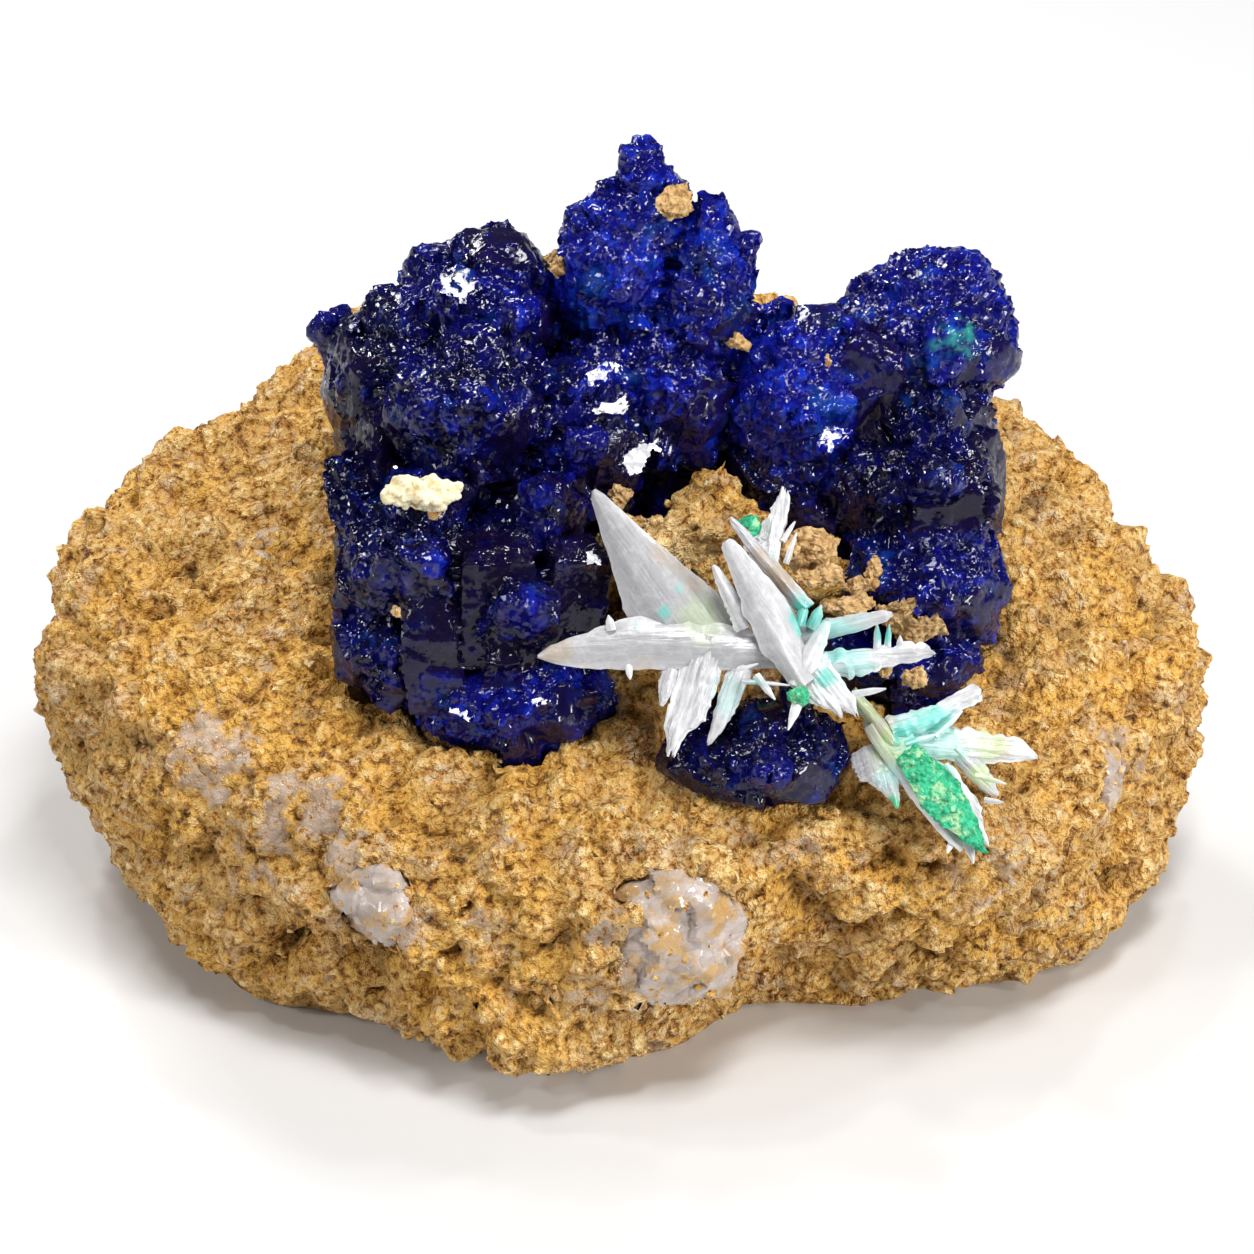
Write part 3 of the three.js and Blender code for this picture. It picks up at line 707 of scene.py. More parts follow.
def azurite_look():
    """Deep blue glassy crystal, lighter on its raised parts as a painted highlight, nearly black in its
    hollows as painted shade.
    """
    look = Look("azurite_blue", roughness=0.14, IOR=1.4, Coat_Roughness=0.04)
    tone = look.attribute("tone")
    glow = look.attribute("glow")
    relief = look.attribute("relief").most(0)
    # lighter at random, by rosette, and on raised parts; the last is a painted highlight
    lit = look.attribute("clouds") * 0.35 + tone * 0.35 + glow * 0.5 + relief * 0.3
    flat = look.attribute("flat")
    layers = [
        ("royal", lit.between(0.3, 0.85)),
        ("bright", (lit * 0.6 + tone * 0.4).between(0.7, 1.05) * 0.8),
        ("azure", look.attribute("azure") * lit.between(0.3, 0.6) * 0.6),
        # painted shade: nearly black where the skin lies low, in its hollows
        ("hollow_shade", (0.3 - relief - glow * 0.3).between(0, 0.9) * 0.85),
        ("slate", flat * 0.8),
        ("stain", look.attribute("stain")),
    ]
    look.colour(look.layered(BLUE["deep"], BLUE, layers))
    glint = look.attribute("glint")
    fine = look.noise(0.5, 2)
    coat = look.attribute("coat") * (1 - flat * 0.8) * 0.4
    look.put(look.shader.inputs["Coat Weight"], coat.most(glint * fine.between(0.49, 0.53)))
    look.rough(0.07 + fine.between(0.45, 0.75) * 0.2)
    small, _ = facets(look, look.place, 0.36, 0.5, 0.03)
    look.bump(small * (1 - flat * 0.9) * (1 - glint * 0.85), 1)
    return look.material


def make_azurite():
    blue = azurite_look()
    for node in ("azurite_cluster", "azurite_front_rosette"):
        skin = copy_of(node, node + "_skin")
        fit_remesh(skin, AZURITE_VOXEL)
        merge_underside(skin)
        plan_growth(skin)
        facet_azurite(skin)
        level_faces(skin)
        finish(skin, blue, smooth=25, stands_for=[node])


# ---- cerussite


class Blade:
    """One blade, from its root to its tip. `outline` lists its edges as (share of its length, mm to the
    left, mm to the right). `roof` is where its two faces meet, as a share of its width, and how far they
    fall away from there. `ridge` is the depth of its lengthwise ridges, `ragged` how far its end is torn,
    `nick` how deep its edges are nicked, as a share of its width, and `milk` how white it is: partly its
    own milkiness, partly painted light and shade for how the blade is turned to the lamps."""

    def __init__(self, root, tip, outline, thickness=1.2, face=FRONT, **rest):
        self.root, self.tip, self.outline = root, tip, outline
        self.thickness, self.face = thickness, face
        self.roof = rest.get("roof", (0, 0.25))
        self.ridge = rest.get("ridge", 0.1)
        self.ragged = rest.get("ragged", 0)
        self.nick = rest.get("nick", 0.1)
        self.milk = rest.get("milk", 0.6)


GREEN_SIDE = Vector((0.4, -0.75, 0.55))  # the side that the blade with the green coat faces
MAIN_BLADES = [
    Blade([3.5, -14.4, 32.6], [-2.1, -10.1, 39.2],
        [(-0.25, 3.2, 2.8), (0.02, 3.1, 2.5), (0.24, 2.9, 1.9), (0.54, 1.9, 1.2), (0.94, 0.6, 0.35),
         (1, 0.2, 0.1)], 1.3, roof=(-0.35, 0.5), ridge=0.025, nick=0.03, milk=0.02),
    Blade([10.4, -16, 30.5], [-5.7, -16.4, 30.6],
        [(0, 0.9, 1.3), (0.21, 1, 1.8), (0.5, 0.9, 2.5), (0.66, 0.9, 2.4), (0.83, 0.8, 1.4),
         (0.95, 0.4, 0.7), (1, 0.1, 0.1)], 1.5, roof=(-0.1, 0.3), ridge=0.04, nick=0.06, milk=0.18),
    Blade([11, -17.4, 30.8], [6.4, -13.6, 37.3],
        [(-0.15, 1.2, 0.6), (0.07, 1.5, 0.8), (0.22, 1.6, 1.2), (0.5, 1.5, 1.3), (0.62, 1.1, 1.1),
         (0.86, 0.7, 0.7), (1, 0.5, 0.5), (1.03, 0.2, 0.3)], 1.6, roof=(-0.3, 0.5), ridge=0.04, milk=0.45),
    Blade([9.7, -11.7, 34], [10.2, -8.3, 38.2],
        [(-0.2, 2.4, 0), (0.36, 2, 0.1), (0.57, 1.4, 0.2), (0.88, 0.5, 0.3), (1, 0.2, 0.2)],
        0.9, ridge=0.25, ragged=0.4, nick=0.3, milk=0.95),
    Blade([11.8, -15.2, 31.2], [16.8, -16.1, 33.7],
        [(-0.3, 1, 0.6), (0.2, 0.9, 0.4), (0.53, 0.7, 0.5), (0.9, 0.35, 0.4), (1, 0.1, 0.2)],
        1, roof=(0, 0.4), ridge=0.06, milk=0.7),
    Blade([11.8, -16.5, 29.9], [19.7, -16.7, 31],
        [(-0.1, 1, 0.9), (0.16, 0.9, 0.9), (0.36, 0.8, 1), (0.58, 0.8, 0.6), (0.88, 0.9, 0.3),
         (0.97, 0.5, 0.2), (1, 0.1, 0.1)], 1.1, ridge=0.14, ragged=0.5, nick=0.25, milk=0.8),
    Blade([4.8, -16.7, 29.9], [2.9, -20, 25.3],
        [(-0.35, 1.4, 1.3), (0.34, 1.3, 1.3), (0.53, 1.3, 1.2), (0.7, 0.5, 1.1), (0.82, 0.3, 0.9),
         (1, 0.2, 0.4)], 1.1, ridge=0.22, ragged=0.7, milk=0.85),
    Blade([6.9, -16.9, 29.1], [5.2, -19.2, 25.6],
        [(-0.4, 0.8, 0.7), (0.3, 0.8, 0.6), (0.7, 0.5, 0.4),
         (1, 0.1, 0.2)], 0.8, ridge=0.16, ragged=0.3, milk=0.85),
    Blade([2.9, -16.6, 29.8], [2.2, -18.2, 28],
        [(0, 0.6, 0.6), (0.5, 0.5, 0.6), (1, 0.1, 0.2)], 0.6, ridge=0.08, milk=0.4),
    Blade([12, -17, 30.8], [14.7, -19.8, 28.2],
        [(0, 0.8, 1.3), (0.4, 0.7, 1.3), (0.75, 0.5, 0.8),
         (1, 0.1, 0.2)], 1, ridge=0.2, ragged=0.6, milk=0.85),
    Blade([12, -17.3, 30.2], [13.7, -20, 28.4],
        [(0, 0.7, 1.6), (0.4, 0.6, 1.5), (0.8, 0.4, 0.6),
         (1, 0.1, 0.2)], 0.8, ridge=0.2, ragged=0.6, milk=0.85),
    Blade([10.8, -18, 29.9], [12.7, -15.9, 33],
        [(-0.1, 0.5, 0.6), (0.4, 0.7, 0.8), (0.8, 0.5, 0.6),
         (1, 0.2, 0.3)], 1, face=Vector((-0.6, -0.8, 0.3)), milk=0.8),
    Blade([11, -14.5, 33.6], [6.6, -10.5, 37.3],
        [(-0.1, 0.6, 0.6), (0.5, 0.55, 0.5), (0.9, 0.3, 0.3), (1, 0.1, 0.1)], 0.6, milk=0.3),
    Blade([7.6, -15.8, 32.4], [5.5, -14, 36],
        [(0, 0.7, 0.7), (0.5, 0.55, 0.5), (0.9, 0.3, 0.25), (1, 0.1, 0.1)], 0.6, milk=0.7),
    Blade([10.4, -15.4, 31], [9.4, -6, 29.4],
        [(0, 1.6, 1.6), (0.45, 2.2, 2.2), (0.8, 1.1, 1.1),
         (1, 0.2, 0.2)], 2, face=Vector((1, 0.2, 0.6)), milk=0.3),
]
SIDE_BLADES = [
    Blade([17.9, -17.7, 24.4], [26.7, -15.8, 22.2],
        [(0, 0.7, 0.4), (0.3, 1.5, 0.6), (0.5, 1.5, 0.7), (0.85, 1.1, 0.4), (0.96, 0.6, 0.2),
         (1, 0.1, 0.1)], 1, ridge=0.12, ragged=0.3, nick=0.2, milk=0.85),
    Blade([16.9, -17.3, 25.5], [22.9, -14.6, 26.7],
        [(0, 0.9, 0.9), (0.23, 0.6, 1.4), (0.52, 0.3, 1.2), (0.77, 0.5, 0.7), (0.97, 0.7, 0.6),
         (1, 0.5, 0.3)], 0.8, ridge=0.1, ragged=0.2, nick=0.2, milk=0.45),
    Blade([16.3, -17, 25], [21.7, -21.8, 19.4],
        [(-0.14, 0.1, 0.4), (0.14, 0.4, 0.8), (0.35, 1.8, 0.8), (0.53, 2.8, 0.8), (0.9, 2.7, 0.4),
         (1, 2.2, 0.1), (1.07, 1.3, 0)], 1.2, face=GREEN_SIDE, ridge=0.14, ragged=1, milk=0.8),
    Blade([15.6, -17.4, 26], [21.5, -22.3, 19.6],
        [(0, 0.2, 0.4), (0.2, 0.1, 0.6), (0.5, 0.1, 0.7), (0.85, 0.1, 0.5), (1, 0.1, 0.2)],
        0.9, face=GREEN_SIDE, ridge=0.06, milk=0.9),
    Blade([16.3, -17.6, 24], [17.2, -21.4, 22.3],
        [(-0.1, 1, 1.7), (0.11, 1, 1.9), (0.34, 0.9, 1.9), (0.5, 0.7, 1), (0.86, 0.4, 0.2), (1, 0.2, 0.1)],
        1, ridge=0.1, milk=0.4),
    Blade([21.2, -17.1, 23.4], [24, -17.4, 20.3],
        [(-0.1, 1.1, 0.4), (0.42, 1, 0.5), (0.8, 0.6, 0.4), (1, 0.2, 0.1)], 0.8, milk=0.4),
    Blade([14.4, -16.3, 27.8], [17.8, -18.2, 24.1],
        [(0, 0.4, 0.5), (0.5, 0.5, 0.5), (1, 0.4, 0.4)], 1, ridge=0.08, milk=0.2),
    Blade([17.4, -17.8, 25], [17, -13.6, 18],
        [(0, 1.4, 1.4), (0.45, 1.6, 1.6), (0.8, 0.8, 0.8),
         (1, 0.2, 0.2)], 2.2, face=Vector((1, -0.4, 0.4)), milk=0.3),
]
# Splinters: root, tip, width.
MAIN_SPLINTERS = [
    ([7.3, -18, 29.8], [10.4, -18.5, 29.8], 0.35), ([8.2, -17.9, 30.2], [9.4, -19.2, 29.2], 0.55),
    ([7, -18.1, 30.7], [8.3, -18.4, 31.4], 0.3), ([11.2, -18.5, 29.6], [10.2, -20.6, 27.8], 0.75),
    ([14.4, -17.8, 28.6], [16.5, -18, 29.2], 0.5), ([16, -16.2, 31], [15.9, -15.7, 32.7], 0.55),
    ([16.6, -16.2, 31], [16.7, -15.7, 32.6], 0.45), ([17.4, -16.2, 31], [17.4, -16.1, 32], 0.5),
    ([11, -15.4, 32.3], [11.4, -14.7, 33.7], 0.8), ([11.8, -15.3, 32], [12.4, -14.7, 33.4], 0.9),
    ([-1, -15.8, 32.2], [-1.2, -15.4, 33.1], 0.6), ([0.1, -16.7, 30.2], [0.2, -17.4, 29.5], 0.5),
    ([10.2, -11.4, 34.4], [10.9, -10.2, 36], 0.4), ([10, -10.6, 35.6], [10.8, -9.8, 36.6], 0.35),
]
SIDE_SPLINTERS = [
    ([22.4, -18.6, 22.8], [24.4, -19.1, 22.5], 0.4), ([23, -19.6, 21.6], [24.2, -20, 21.7], 0.4),
    ([21.7, -21.2, 20.5], [22.2, -22.8, 18.9], 0.8), ([22.3, -21, 20.8], [23.2, -22.2, 19.8], 0.7),
    ([21, -21.5, 20], [20.5, -22.5, 19.5], 0.5), ([20.5, -17.9, 23.2], [21.3, -18.6, 22.4], 0.5),
    ([17.9, -18, 24.8], [20.4, -17.4, 25.4], 0.5), ([19.8, -17.6, 25.2], [21.6, -16.2, 26.2], 0.5),
]
PLATE_GRID = (27, 40)  # faces across and along a blade before it is shaped
SPLINTER_GRID = (4, 8)
TORN_STRIPS = 9  # across the end of a blade
NICK_ROWS = 26  # along each of its edges
RIDGES = {"broad": 2.2, "fine": 5}  # lengthwise ridges to the millimetre


def make_plate(name, across, along):
    """A flat block from -1 to 1 each way, with many faces on its broad sides."""
    bpy.ops.mesh.primitive_grid_add(x_subdivisions=across, y_subdivisions=along, size=2)
    plate = bpy.context.object
    plate.name = name
    modifier = plate.modifiers.new("thickness", "SOLIDIFY")
    modifier.thickness = 2
    modifier.offset = 0
    bpy.ops.object.modifier_apply(modifier=modifier.name)
    return plate


def torn(across, chance):
    """How far each strip of a blade's end is torn back, from 0 to 1, read at `across` from -1 to 1."""
    strips = np.array([chance.random() for _ in range(TORN_STRIPS)])
    return strips[np.clip((across + 1) * TORN_STRIPS / 2, 0, TORN_STRIPS - 1).astype(int)]


def make_blade(plate, blade, chance):
    """A plate drawn to the blade's outline, thick in the middle and sharp at its edges."""
    made = twin(plate, "blade_copy")
    u, v, side = (points_of(plate) * MM).T
    shares, left, right = np.array(blade.outline).T
    axis = Vector(blade.tip) - Vector(blade.root)
    share = shares[0] + (v + 1) / 2 * (shares[-1] - shares[0])
    rows = np.linspace(-1, 1, NICK_ROWS)
    wide = []
    for edge in (left, right):
        nicks = np.interp(v, rows, [chance.uniform(-1, 1) for _ in rows])
        wide.append(np.interp(share, shares, edge) * (1 + blade.nick * nicks))
    across = -wide[0] + (u + 1) / 2 * (wide[0] + wide[1])
    along = share * axis.length - blade.ragged * torn(u, chance) * np.clip(share, 0, 1) ** 4
    thin = (1 - 0.8 * np.abs(u) ** 2.5) * (1 - 0.6 * np.clip(share, 0, 1) ** 2)
    middle, fall = blade.roof
    out = side * blade.thickness / 2 * thin - fall * np.abs(u - middle) * np.clip(1.1 - share, 0, 1)
    local = np.stack([across, along, out], axis=1)
    axes = np.array(crystal_axes(axis, blade.face))
    places = local @ axes + np.array(at(blade.root)) / MM
    made.data.vertices.foreach_set("co", (places * MM).astype(np.float32).ravel())
    start = np.array([chance.uniform(-9, 9) for _ in range(3)])
    keep(made, "grain", local + start)
    keep(made, "ridge", np.full(len(u), blade.ridge))
    keep(made, "milk", np.full(len(u), blade.milk))
    # whiter towards the edges: painted light for the glow of the thin edges
    keep(made, "rim", np.abs(u) ** 5)
    return made


def splinter(root, tip, width):
    outline = [(0, width / 2, width / 2), (0.6, width * 0.42, width * 0.42), (1, 0.05, 0.05)]
    return Blade(root, tip, outline, width * 0.6, roof=(0, width * 0.1), ridge=0.03, milk=0.8)


def ridge_blades(spray, stains):
    """Raise the blades' lengthwise ridges and mark where they are stained."""
    growth = Growth(spray.name + "_ridges")
    grain = growth.vector("MULTIPLY", growth.named("grain", "FLOAT_VECTOR"), (1, 0.1, 1))
    sockets = {"Vector": grain, "Scale": RIDGES["broad"]}
    broad = growth.node("ShaderNodeTexVoronoi", {}, sockets)
    fine = growth.node("ShaderNodeTexVoronoi", {}, {**sockets, "Scale": RIDGES["fine"]})
    height = (0.5 - broad) * 1.2 + (0.5 - fine) * 0.6
    marks = {"stain_" + colour: strongest(growth, spots) for colour, spots in stains.items()}
    raise_skin(growth, spray, height * growth.named("ridge"), **marks)


ICE = {
    "white": (0.88, 0.88, 0.90),
    "shade": (0.19, 0.185, 0.195),
    "warm": (0.42, 0.31, 0.20),
    "turquoise": (0.06, 0.52, 0.44),
    "aqua": (0.38, 0.74, 0.70),
    "lime": (0.42, 0.62, 0.16),
    "green": (0.03, 0.50, 0.26),
}


def cerussite_look(name, stains):
    """Milky, slightly see-through white crystal with fine lengthwise striations."""
    look = Look(name, roughness=0.3, IOR=1.8, Subsurface_Weight=0.25, Subsurface_Scale=0.6 * MM)
    look.put(look.shader.inputs["Subsurface Radius"], (1, 1, 1))
    grain = look.vector("MULTIPLY", look.attribute("grain", 1), (1, 0.09, 1))
    lines = look.node("ShaderNodeTexNoise", {}, {"Vector": grain, "Scale": 4, "Detail": 4}).between(0.3, 0.7)
    ripple = look.noise(1.1, 3) - 0.5
    veins = 1 - ripple.maths("ABSOLUTE", ripple).between(0, 0.06)
    clouds = look.noise(1.3, 4).between(0.35, 0.7)
    ridge = look.attribute("ridge")
    # whiter by each blade's milk, partly its own milkiness and partly painted light and shade, and whiter at
    # its edges as painted light
    white = look.attribute("milk") * (0.35 + clouds * 0.4) + look.attribute("rim") * 0.4
    white = white + veins * 0.12 + (lines - 0.4) * ridge * 2.2
    layers = [(colour, look.attribute("stain_" + colour)) for colour in stains]
    look.colour(look.layered(ICE["shade"], ICE, [("white", white.between(-0.25, 1)), *layers]))
    look.rough(0.22 + lines * 0.2)
    look.bump(lines * ridge * 6 + look.noise(0.5, 3) * 0.4, 0.08)
    return look.material


MAIN_STAINS = {  # by colour: middle, reach in mm, strength
    "warm": [
        ([2.6, -12.4, 36.3], 1.4, 0.6), ([4.7, -13.5, 34.7], 1.3, 0.6), ([3.6, -12.9, 35.4], 1, 0.6),
        ([-4.6, -16.5, 31.3], 1.3, 0.55), ([1, -16.6, 30], 1, 0.3), ([9.6, -13.4, 34.6], 1.6, 0.7),
        ([8.6, -12.4, 35.6], 0.9, 0.5),
    ],
    "lime": [
        ([4.9, -15, 32.6], 2, 0.25), ([9.9, -18, 29.2], 0.7, 0.7),
    ],
    "aqua": [
        ([13.7, -16, 31.6], 2.2, 0.8), ([14.7, -17.4, 30], 1.4, 0.7), ([6.6, -17.6, 28.4], 1.6, 0.4),
        ([9.6, -12, 35.1], 0.9, 0.7),
    ],
    "turquoise": [
        ([3.4, -14, 34.3], 0.55, 0.8), ([4.8, -13.9, 34], 0.6, 0.7), ([2.4, -14.9, 33], 0.5, 0.6),
        ([0.8, -15.4, 32.2], 0.5, 0.3), ([11.2, -15.3, 33], 1.5, 0.85), ([12.2, -15, 32.6], 1.1, 0.7),
        ([13.4, -16.6, 31.2], 0.7, 0.6), ([12.6, -18, 30], 0.9, 0.8), ([6.9, -18.7, 27.7], 0.6, 0.6),
        ([8.3, -18.2, 29.4], 0.8, 0.7), ([16.4, -15.9, 32.1], 0.8, 0.9),
    ],
}
SIDE_STAINS = {  # by colour: middle, reach in mm, strength
    "warm": [
        ([18.8, -18.3, 24.5], 0.8, 0.8), ([24.2, -16.6, 23.4], 1, 0.45), ([15.8, -17.2, 26.2], 2, 0.35),
    ],
    "lime": [
        ([17.9, -18.3, 24.7], 1.1, 0.8), ([23.6, -16.6, 23.8], 1.5, 0.45),
        ([23.1, -18.2, 22.1], 1.5, 0.6), ([17, -18.4, 24.8], 1.8, 0.45), ([15, -16.8, 27], 2, 0.4),
        ([21, -17.4, 23.9], 1.6, 0.3),
    ],
    "aqua": [
        ([19.4, -17.2, 25.4], 2.6, 0.7), ([20.4, -18, 24], 2.2, 0.6), ([16.8, -19.6, 23.4], 1.2, 0.5),
    ],
    "turquoise": [
        ([19.8, -16.9, 26.1], 1.3, 0.8), ([17.9, -17.5, 25.4], 1.1, 0.8),
    ],
    "green": [
        ([17, -21.1, 22.3], 0.8, 0.9),
    ],
}


def make_spray(plates, name, blades, splinters, stains, seed, stands_for):
    chance = random.Random(seed)
    made = [make_blade(plates[0], blade, chance) for blade in blades]
    made += [make_blade(plates[1], splinter(*sizes), chance) for sizes in splinters]
    spray = joined(name, made)
    ridge_blades(spray, stains)
    milk = cerussite_look(name + "_milk", stains)
    finish(spray, milk, smooth=20, stands_for=stands_for)


# ---- quartz, crusts and beads


def quartz_look():
    """Cloudy quartz, greyish lilac with golden iron stains."""
    look = Look("quartz", roughness=0.12, IOR=1.54, Transmission_Weight=0.3)
    clouds = look.noise(2.5, 4).between(0.3, 0.7)
    body = look.blend((0.46, 0.36, 0.29), (0.84, 0.73, 0.68), clouds)
    body = look.blend(body, (0.72, 0.42, 0.12), look.noise(2.2, 4, 0.65).between(0.48, 0.58) * 0.85)
    look.colour(body)
    look.rough(0.08 + look.noise(1.2, 3).between(0.4, 0.7) * 0.4)
    small, _ = facets(look, look.place, 0.8, 0.3, 0.04)
    look.bump(small, 1)
    return look.material


def quartz_relief(graph):
    broad, _ = facets(graph, graph.place, 3, 0.14, 0.1)
    small, _ = facets(graph, graph.place, 1.2, 0.14, 0.04)
    return broad + small + (graph.noise(3, 2) - 0.5) * 0.8 + 0.2


def cream_look():
    look = Look("cream_crust", roughness=0.9)
    body = look.blend((0.72, 0.56, 0.28), (0.95, 0.88, 0.64), look.noise(0.7, 4).between(0.3, 0.6))
    look.colour(body)
    look.bump(look.noise(0.3, 4), 0.25)
    return look.material


def tan_look():
    look = Look("tan_crust", roughness=0.85)
    body = look.blend((0.48, 0.27, 0.09), (0.76, 0.52, 0.25), look.noise(0.9, 4, 0.65).between(0.35, 0.65))
    body = look.blend(body, (0.22, 0.11, 0.04), look.noise(0.5, 3).between(0.58, 0.68) * 0.7)
    look.colour(body)
    look.bump(cobbles(look, 0.45, look.place), 0.35)
    return look.material


def malachite_look():
    look = Look("malachite", roughness=0.55)
    body = look.blend((0.008, 0.28, 0.12), (0.04, 0.60, 0.30), look.noise(0.6, 4, 0.7).between(0.38, 0.62))
    body = look.blend(body, (0.50, 0.78, 0.42), look.noise(1.3, 4, 0.7).between(0.52, 0.62) * 0.85)
    look.colour(body)
    look.bump(1 - look.cells(0.35) + look.noise(0.3, 3), 0.2)
    return look.material


def ragged_relief(graph):
    return (graph.noise(1.5, 4, 0.7) - 0.5) * 2.6 + cobbles(graph, 0.5, graph.place) * 0.4 - 0.15


def sunk_relief(graph):
    return ragged_relief(graph) * 0.7 - 0.3


def knobbly_relief(graph):
    return cobbles(graph, 1.3, graph.place) * 0.9 + cobbles(graph, 0.55, graph.place) * 0.5


def grain_relief(graph):
    grains, _ = facets(graph, graph.place, 0.4, 0.3, 0.05)
    return (graph.noise(0.9, 3) - 0.5) * 0.4 + grains


QUARTZ_VOXEL = 0.25  # mm, the quartz patches' own mesh
CRUST_VOXEL = 0.12  # mm, that of the crusts and the beads


def make_lump(node, look, voxel, relief, smooth=40):
    piece = copy_of(node, node + "_piece")
    fit_remesh(piece, voxel)
    growth = Growth(node + "_relief")
    raise_skin(growth, piece, relief(growth))
    finish(piece, look, smooth=smooth, stands_for=[node])
    return piece


CLOTS = [  # bits of tan crust between the crystals: middle and half sizes
    ([11.8, -8.8, 33.8], (2, 1.1, 1.7)), ([10.4, -9.6, 34.4], (0.9, 0.9, 0.9)),
    ([12.6, -10.4, 32.7], (1.7, 1, 0.7)), ([14.4, -11.4, 31.1], (1.8, 0.9, 0.8)),
    ([16, -8.8, 32], (0.6, 0.6, 1.4)), ([16.5, -15.6, 28.9], (0.5, 0.6, 0.7)),
    ([18.5, -15, 27.9], (0.8, 0.8, 0.7)), ([19.8, -10.6, 30.8], (0.6, 0.6, 1.4)),
    ([17.8, -10.6, 30.2], (1.6, 0.6, 0.8)), ([-0.6, -5.5, 35.7], (0.9, 0.8, 0.75)),
    ([15.2, -9.6, 31.4], (1.2, 0.6, 0.5)), ([-4.5, 2.8, 48.2], (0.5, 0.6, 0.9)),
    ([-5, 6, 47], (0.6, 0.6, 0.8)), ([7.2, -0.3, 44.3], (0.7, 0.5, 0.7)),
    ([13, -2, 44], (0.35, 0.35, 0.5)), ([-12.4, -9.9, 37.2], (0.45, 0.4, 0.35)),
    ([-14.8, -13, 31.6], (0.35, 0.4, 0.4)),
]


def make_clots(tan):
    """Bits of tan crust, each knocked out of a ball."""
    made = []
    for middle, radii in CLOTS:
        bpy.ops.mesh.primitive_ico_sphere_add(subdivisions=4, radius=1)
        clot = bpy.context.object
        edit(clot, "VERT")
        bpy.ops.mesh.select_all(action="SELECT")
        bpy.ops.transform.resize(value=[radius * MM for radius in radii])
        bpy.ops.transform.translate(value=at(middle))
        done()
        made.append(clot)
    clots = joined("tan_clots", made)
    growth = Growth("tan_clots_relief")
    raise_skin(growth, clots, ragged_relief(growth))
    finish(clots, tan, smooth=40)


# ---- stage

CAMERA = {"distance": 300, "elevation": 34, "target": (0, 0, 21.8), "lens": 126.65, "sensor": 36}
SEES = (0.01, 10)  # metres, the nearest and the furthest that the camera shows


def hang(name, data, place, towards):
    """Put a camera or a lamp at `place`, in metres, looking `towards`."""
    holder = bpy.data.objects.new(name, data)
    bpy.context.scene.collection.objects.link(holder)
    holder.location = place
    holder.rotation_mode = "QUATERNION"
    holder.rotation_quaternion = towards.to_track_quat("-Z", "Y")
    return holder


def make_camera():
    camera = bpy.data.cameras.new("camera")
    camera.lens = CAMERA["lens"]
    camera.sensor_width = CAMERA["sensor"]
    camera.clip_start, camera.clip_end = SEES
    angle = math.radians(CAMERA["elevation"])
    back = Vector((0, -math.cos(angle), math.sin(angle)))
    place = at(CAMERA["target"]) + back * CAMERA["distance"] * MM
    bpy.context.scene.camera = hang("camera", camera, place, -back)


SKY = 0.08  # brightness of the white room round the specimen
SOFTBOXES = [  # name, place, size of its face, brightness of that face against white
    ("softbox_over", (60, -100, 410), (110, 90), 27),
    ("softbox_back", (-190, 300, 270), (130, 100), 19),
    ("softbox_left", (-360, -160, 200), (80, 120), 11.5),
    ("softbox_right", (330, -220, 130), (90, 120), 30),
]
# A ring of small lamps that make glints, low and high by turns. It starts `turned` of a step round.
LAMPS = {"count": 7, "turned": 0.3, "degrees_up": (42, 68), "away": 430, "size": 30, "radiance": 75}
LIT = (0, 0, 25)  # the place that every lamp looks at
FLOOR = {"side": 6, "grey": 0.72}  # metres, and how light it is


def make_light(name, place, size, radiance):
    light = bpy.data.lights.new(name, "AREA")
    light.shape = "RECTANGLE"
    light.size, light.size_y = (side * MM for side in size)
    light.energy = radiance * math.pi * light.size * light.size_y
    place = Vector(place) * MM
    hang(name, light, place, at(LIT) - place)


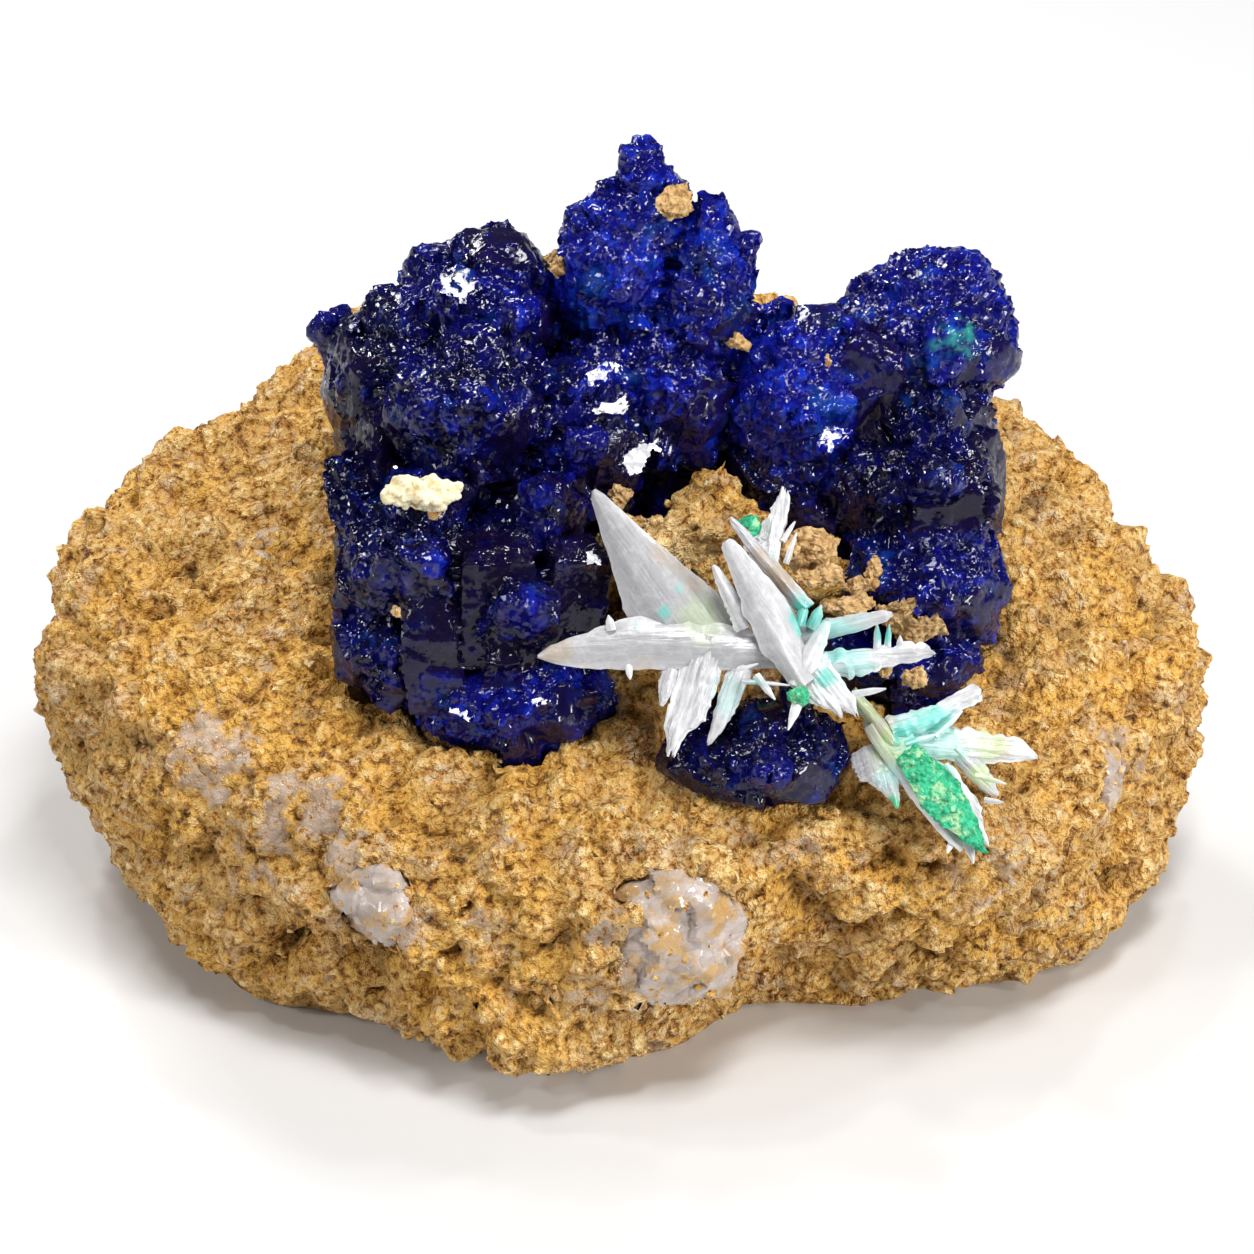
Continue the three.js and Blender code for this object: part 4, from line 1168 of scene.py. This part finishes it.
def make_lamps():
    for number in range(LAMPS["count"]):
        azimuth = math.tau * (number + LAMPS["turned"]) / LAMPS["count"]
        elevation = math.radians(LAMPS["degrees_up"][number % 2])
        flat = math.cos(elevation)
        away = Vector((flat * math.cos(azimuth), flat * math.sin(azimuth), math.sin(elevation)))
        make_light(f"lamp_{number}", away * LAMPS["away"], (LAMPS["size"], LAMPS["size"]), LAMPS["radiance"])


def make_stage():
    bpy.ops.mesh.primitive_plane_add(size=FLOOR["side"], location=(0, 0, 0))
    floor = bpy.context.object
    floor.name = "floor"
    look = Look("floor_white", roughness=0.7, Coat_Weight=0.25, Coat_Roughness=0.12)
    look.colour([FLOOR["grey"]] * 3)
    floor.data.materials.append(look.material)
    world = bpy.data.worlds.new("studio")
    bpy.context.scene.world = world
    world.use_nodes = True
    background = world.node_tree.nodes["Background"]
    background.inputs["Color"].default_value = (1, 1, 1, 1)
    background.inputs["Strength"].default_value = SKY
    for name, place, size, radiance in SOFTBOXES:
        make_light(name, place, size, radiance)
    make_lamps()
    bpy.context.scene.view_settings.view_transform = "Standard"


# ---- assembly

make_camera()
make_stage()
sand = sand_look()
tan = tan_look()
make_rock(sand)
make_azurite()
plates = [make_plate("plate", *PLATE_GRID), make_plate("splinter", *SPLINTER_GRID)]
make_spray(plates, "cerussite_main", MAIN_BLADES, MAIN_SPLINTERS, MAIN_STAINS, 5, ["cerussite_spray"])
make_spray(plates, "cerussite_side", SIDE_BLADES, SIDE_SPLINTERS, SIDE_STAINS, 6, ["cerussite_side_spray"])
drop(*plates)
clear_quartz = quartz_look()
crumb = make_crumb("crumb", 12)
for number, node in enumerate(QUARTZ):
    lump = make_lump(node, clear_quartz, QUARTZ_VOXEL, quartz_relief, smooth=15)
    scatter_crumbs(sand, lump, crumb, node + "_crumbs", 0.6, (0.35, 0.9), 80 + 10 * number, 0.42)
drop(crumb)
malachite = malachite_look()
for node in ("malachite_crust", "malachite_bead_top", "malachite_bead_low"):
    make_lump(node, malachite, CRUST_VOXEL, grain_relief)
make_lump("cream_crust", cream_look(), CRUST_VOXEL, knobbly_relief)
for node in ("tan_crust_top", "tan_crust_right"):
    make_lump(node, tan, CRUST_VOXEL, sunk_relief)
make_clots(tan)
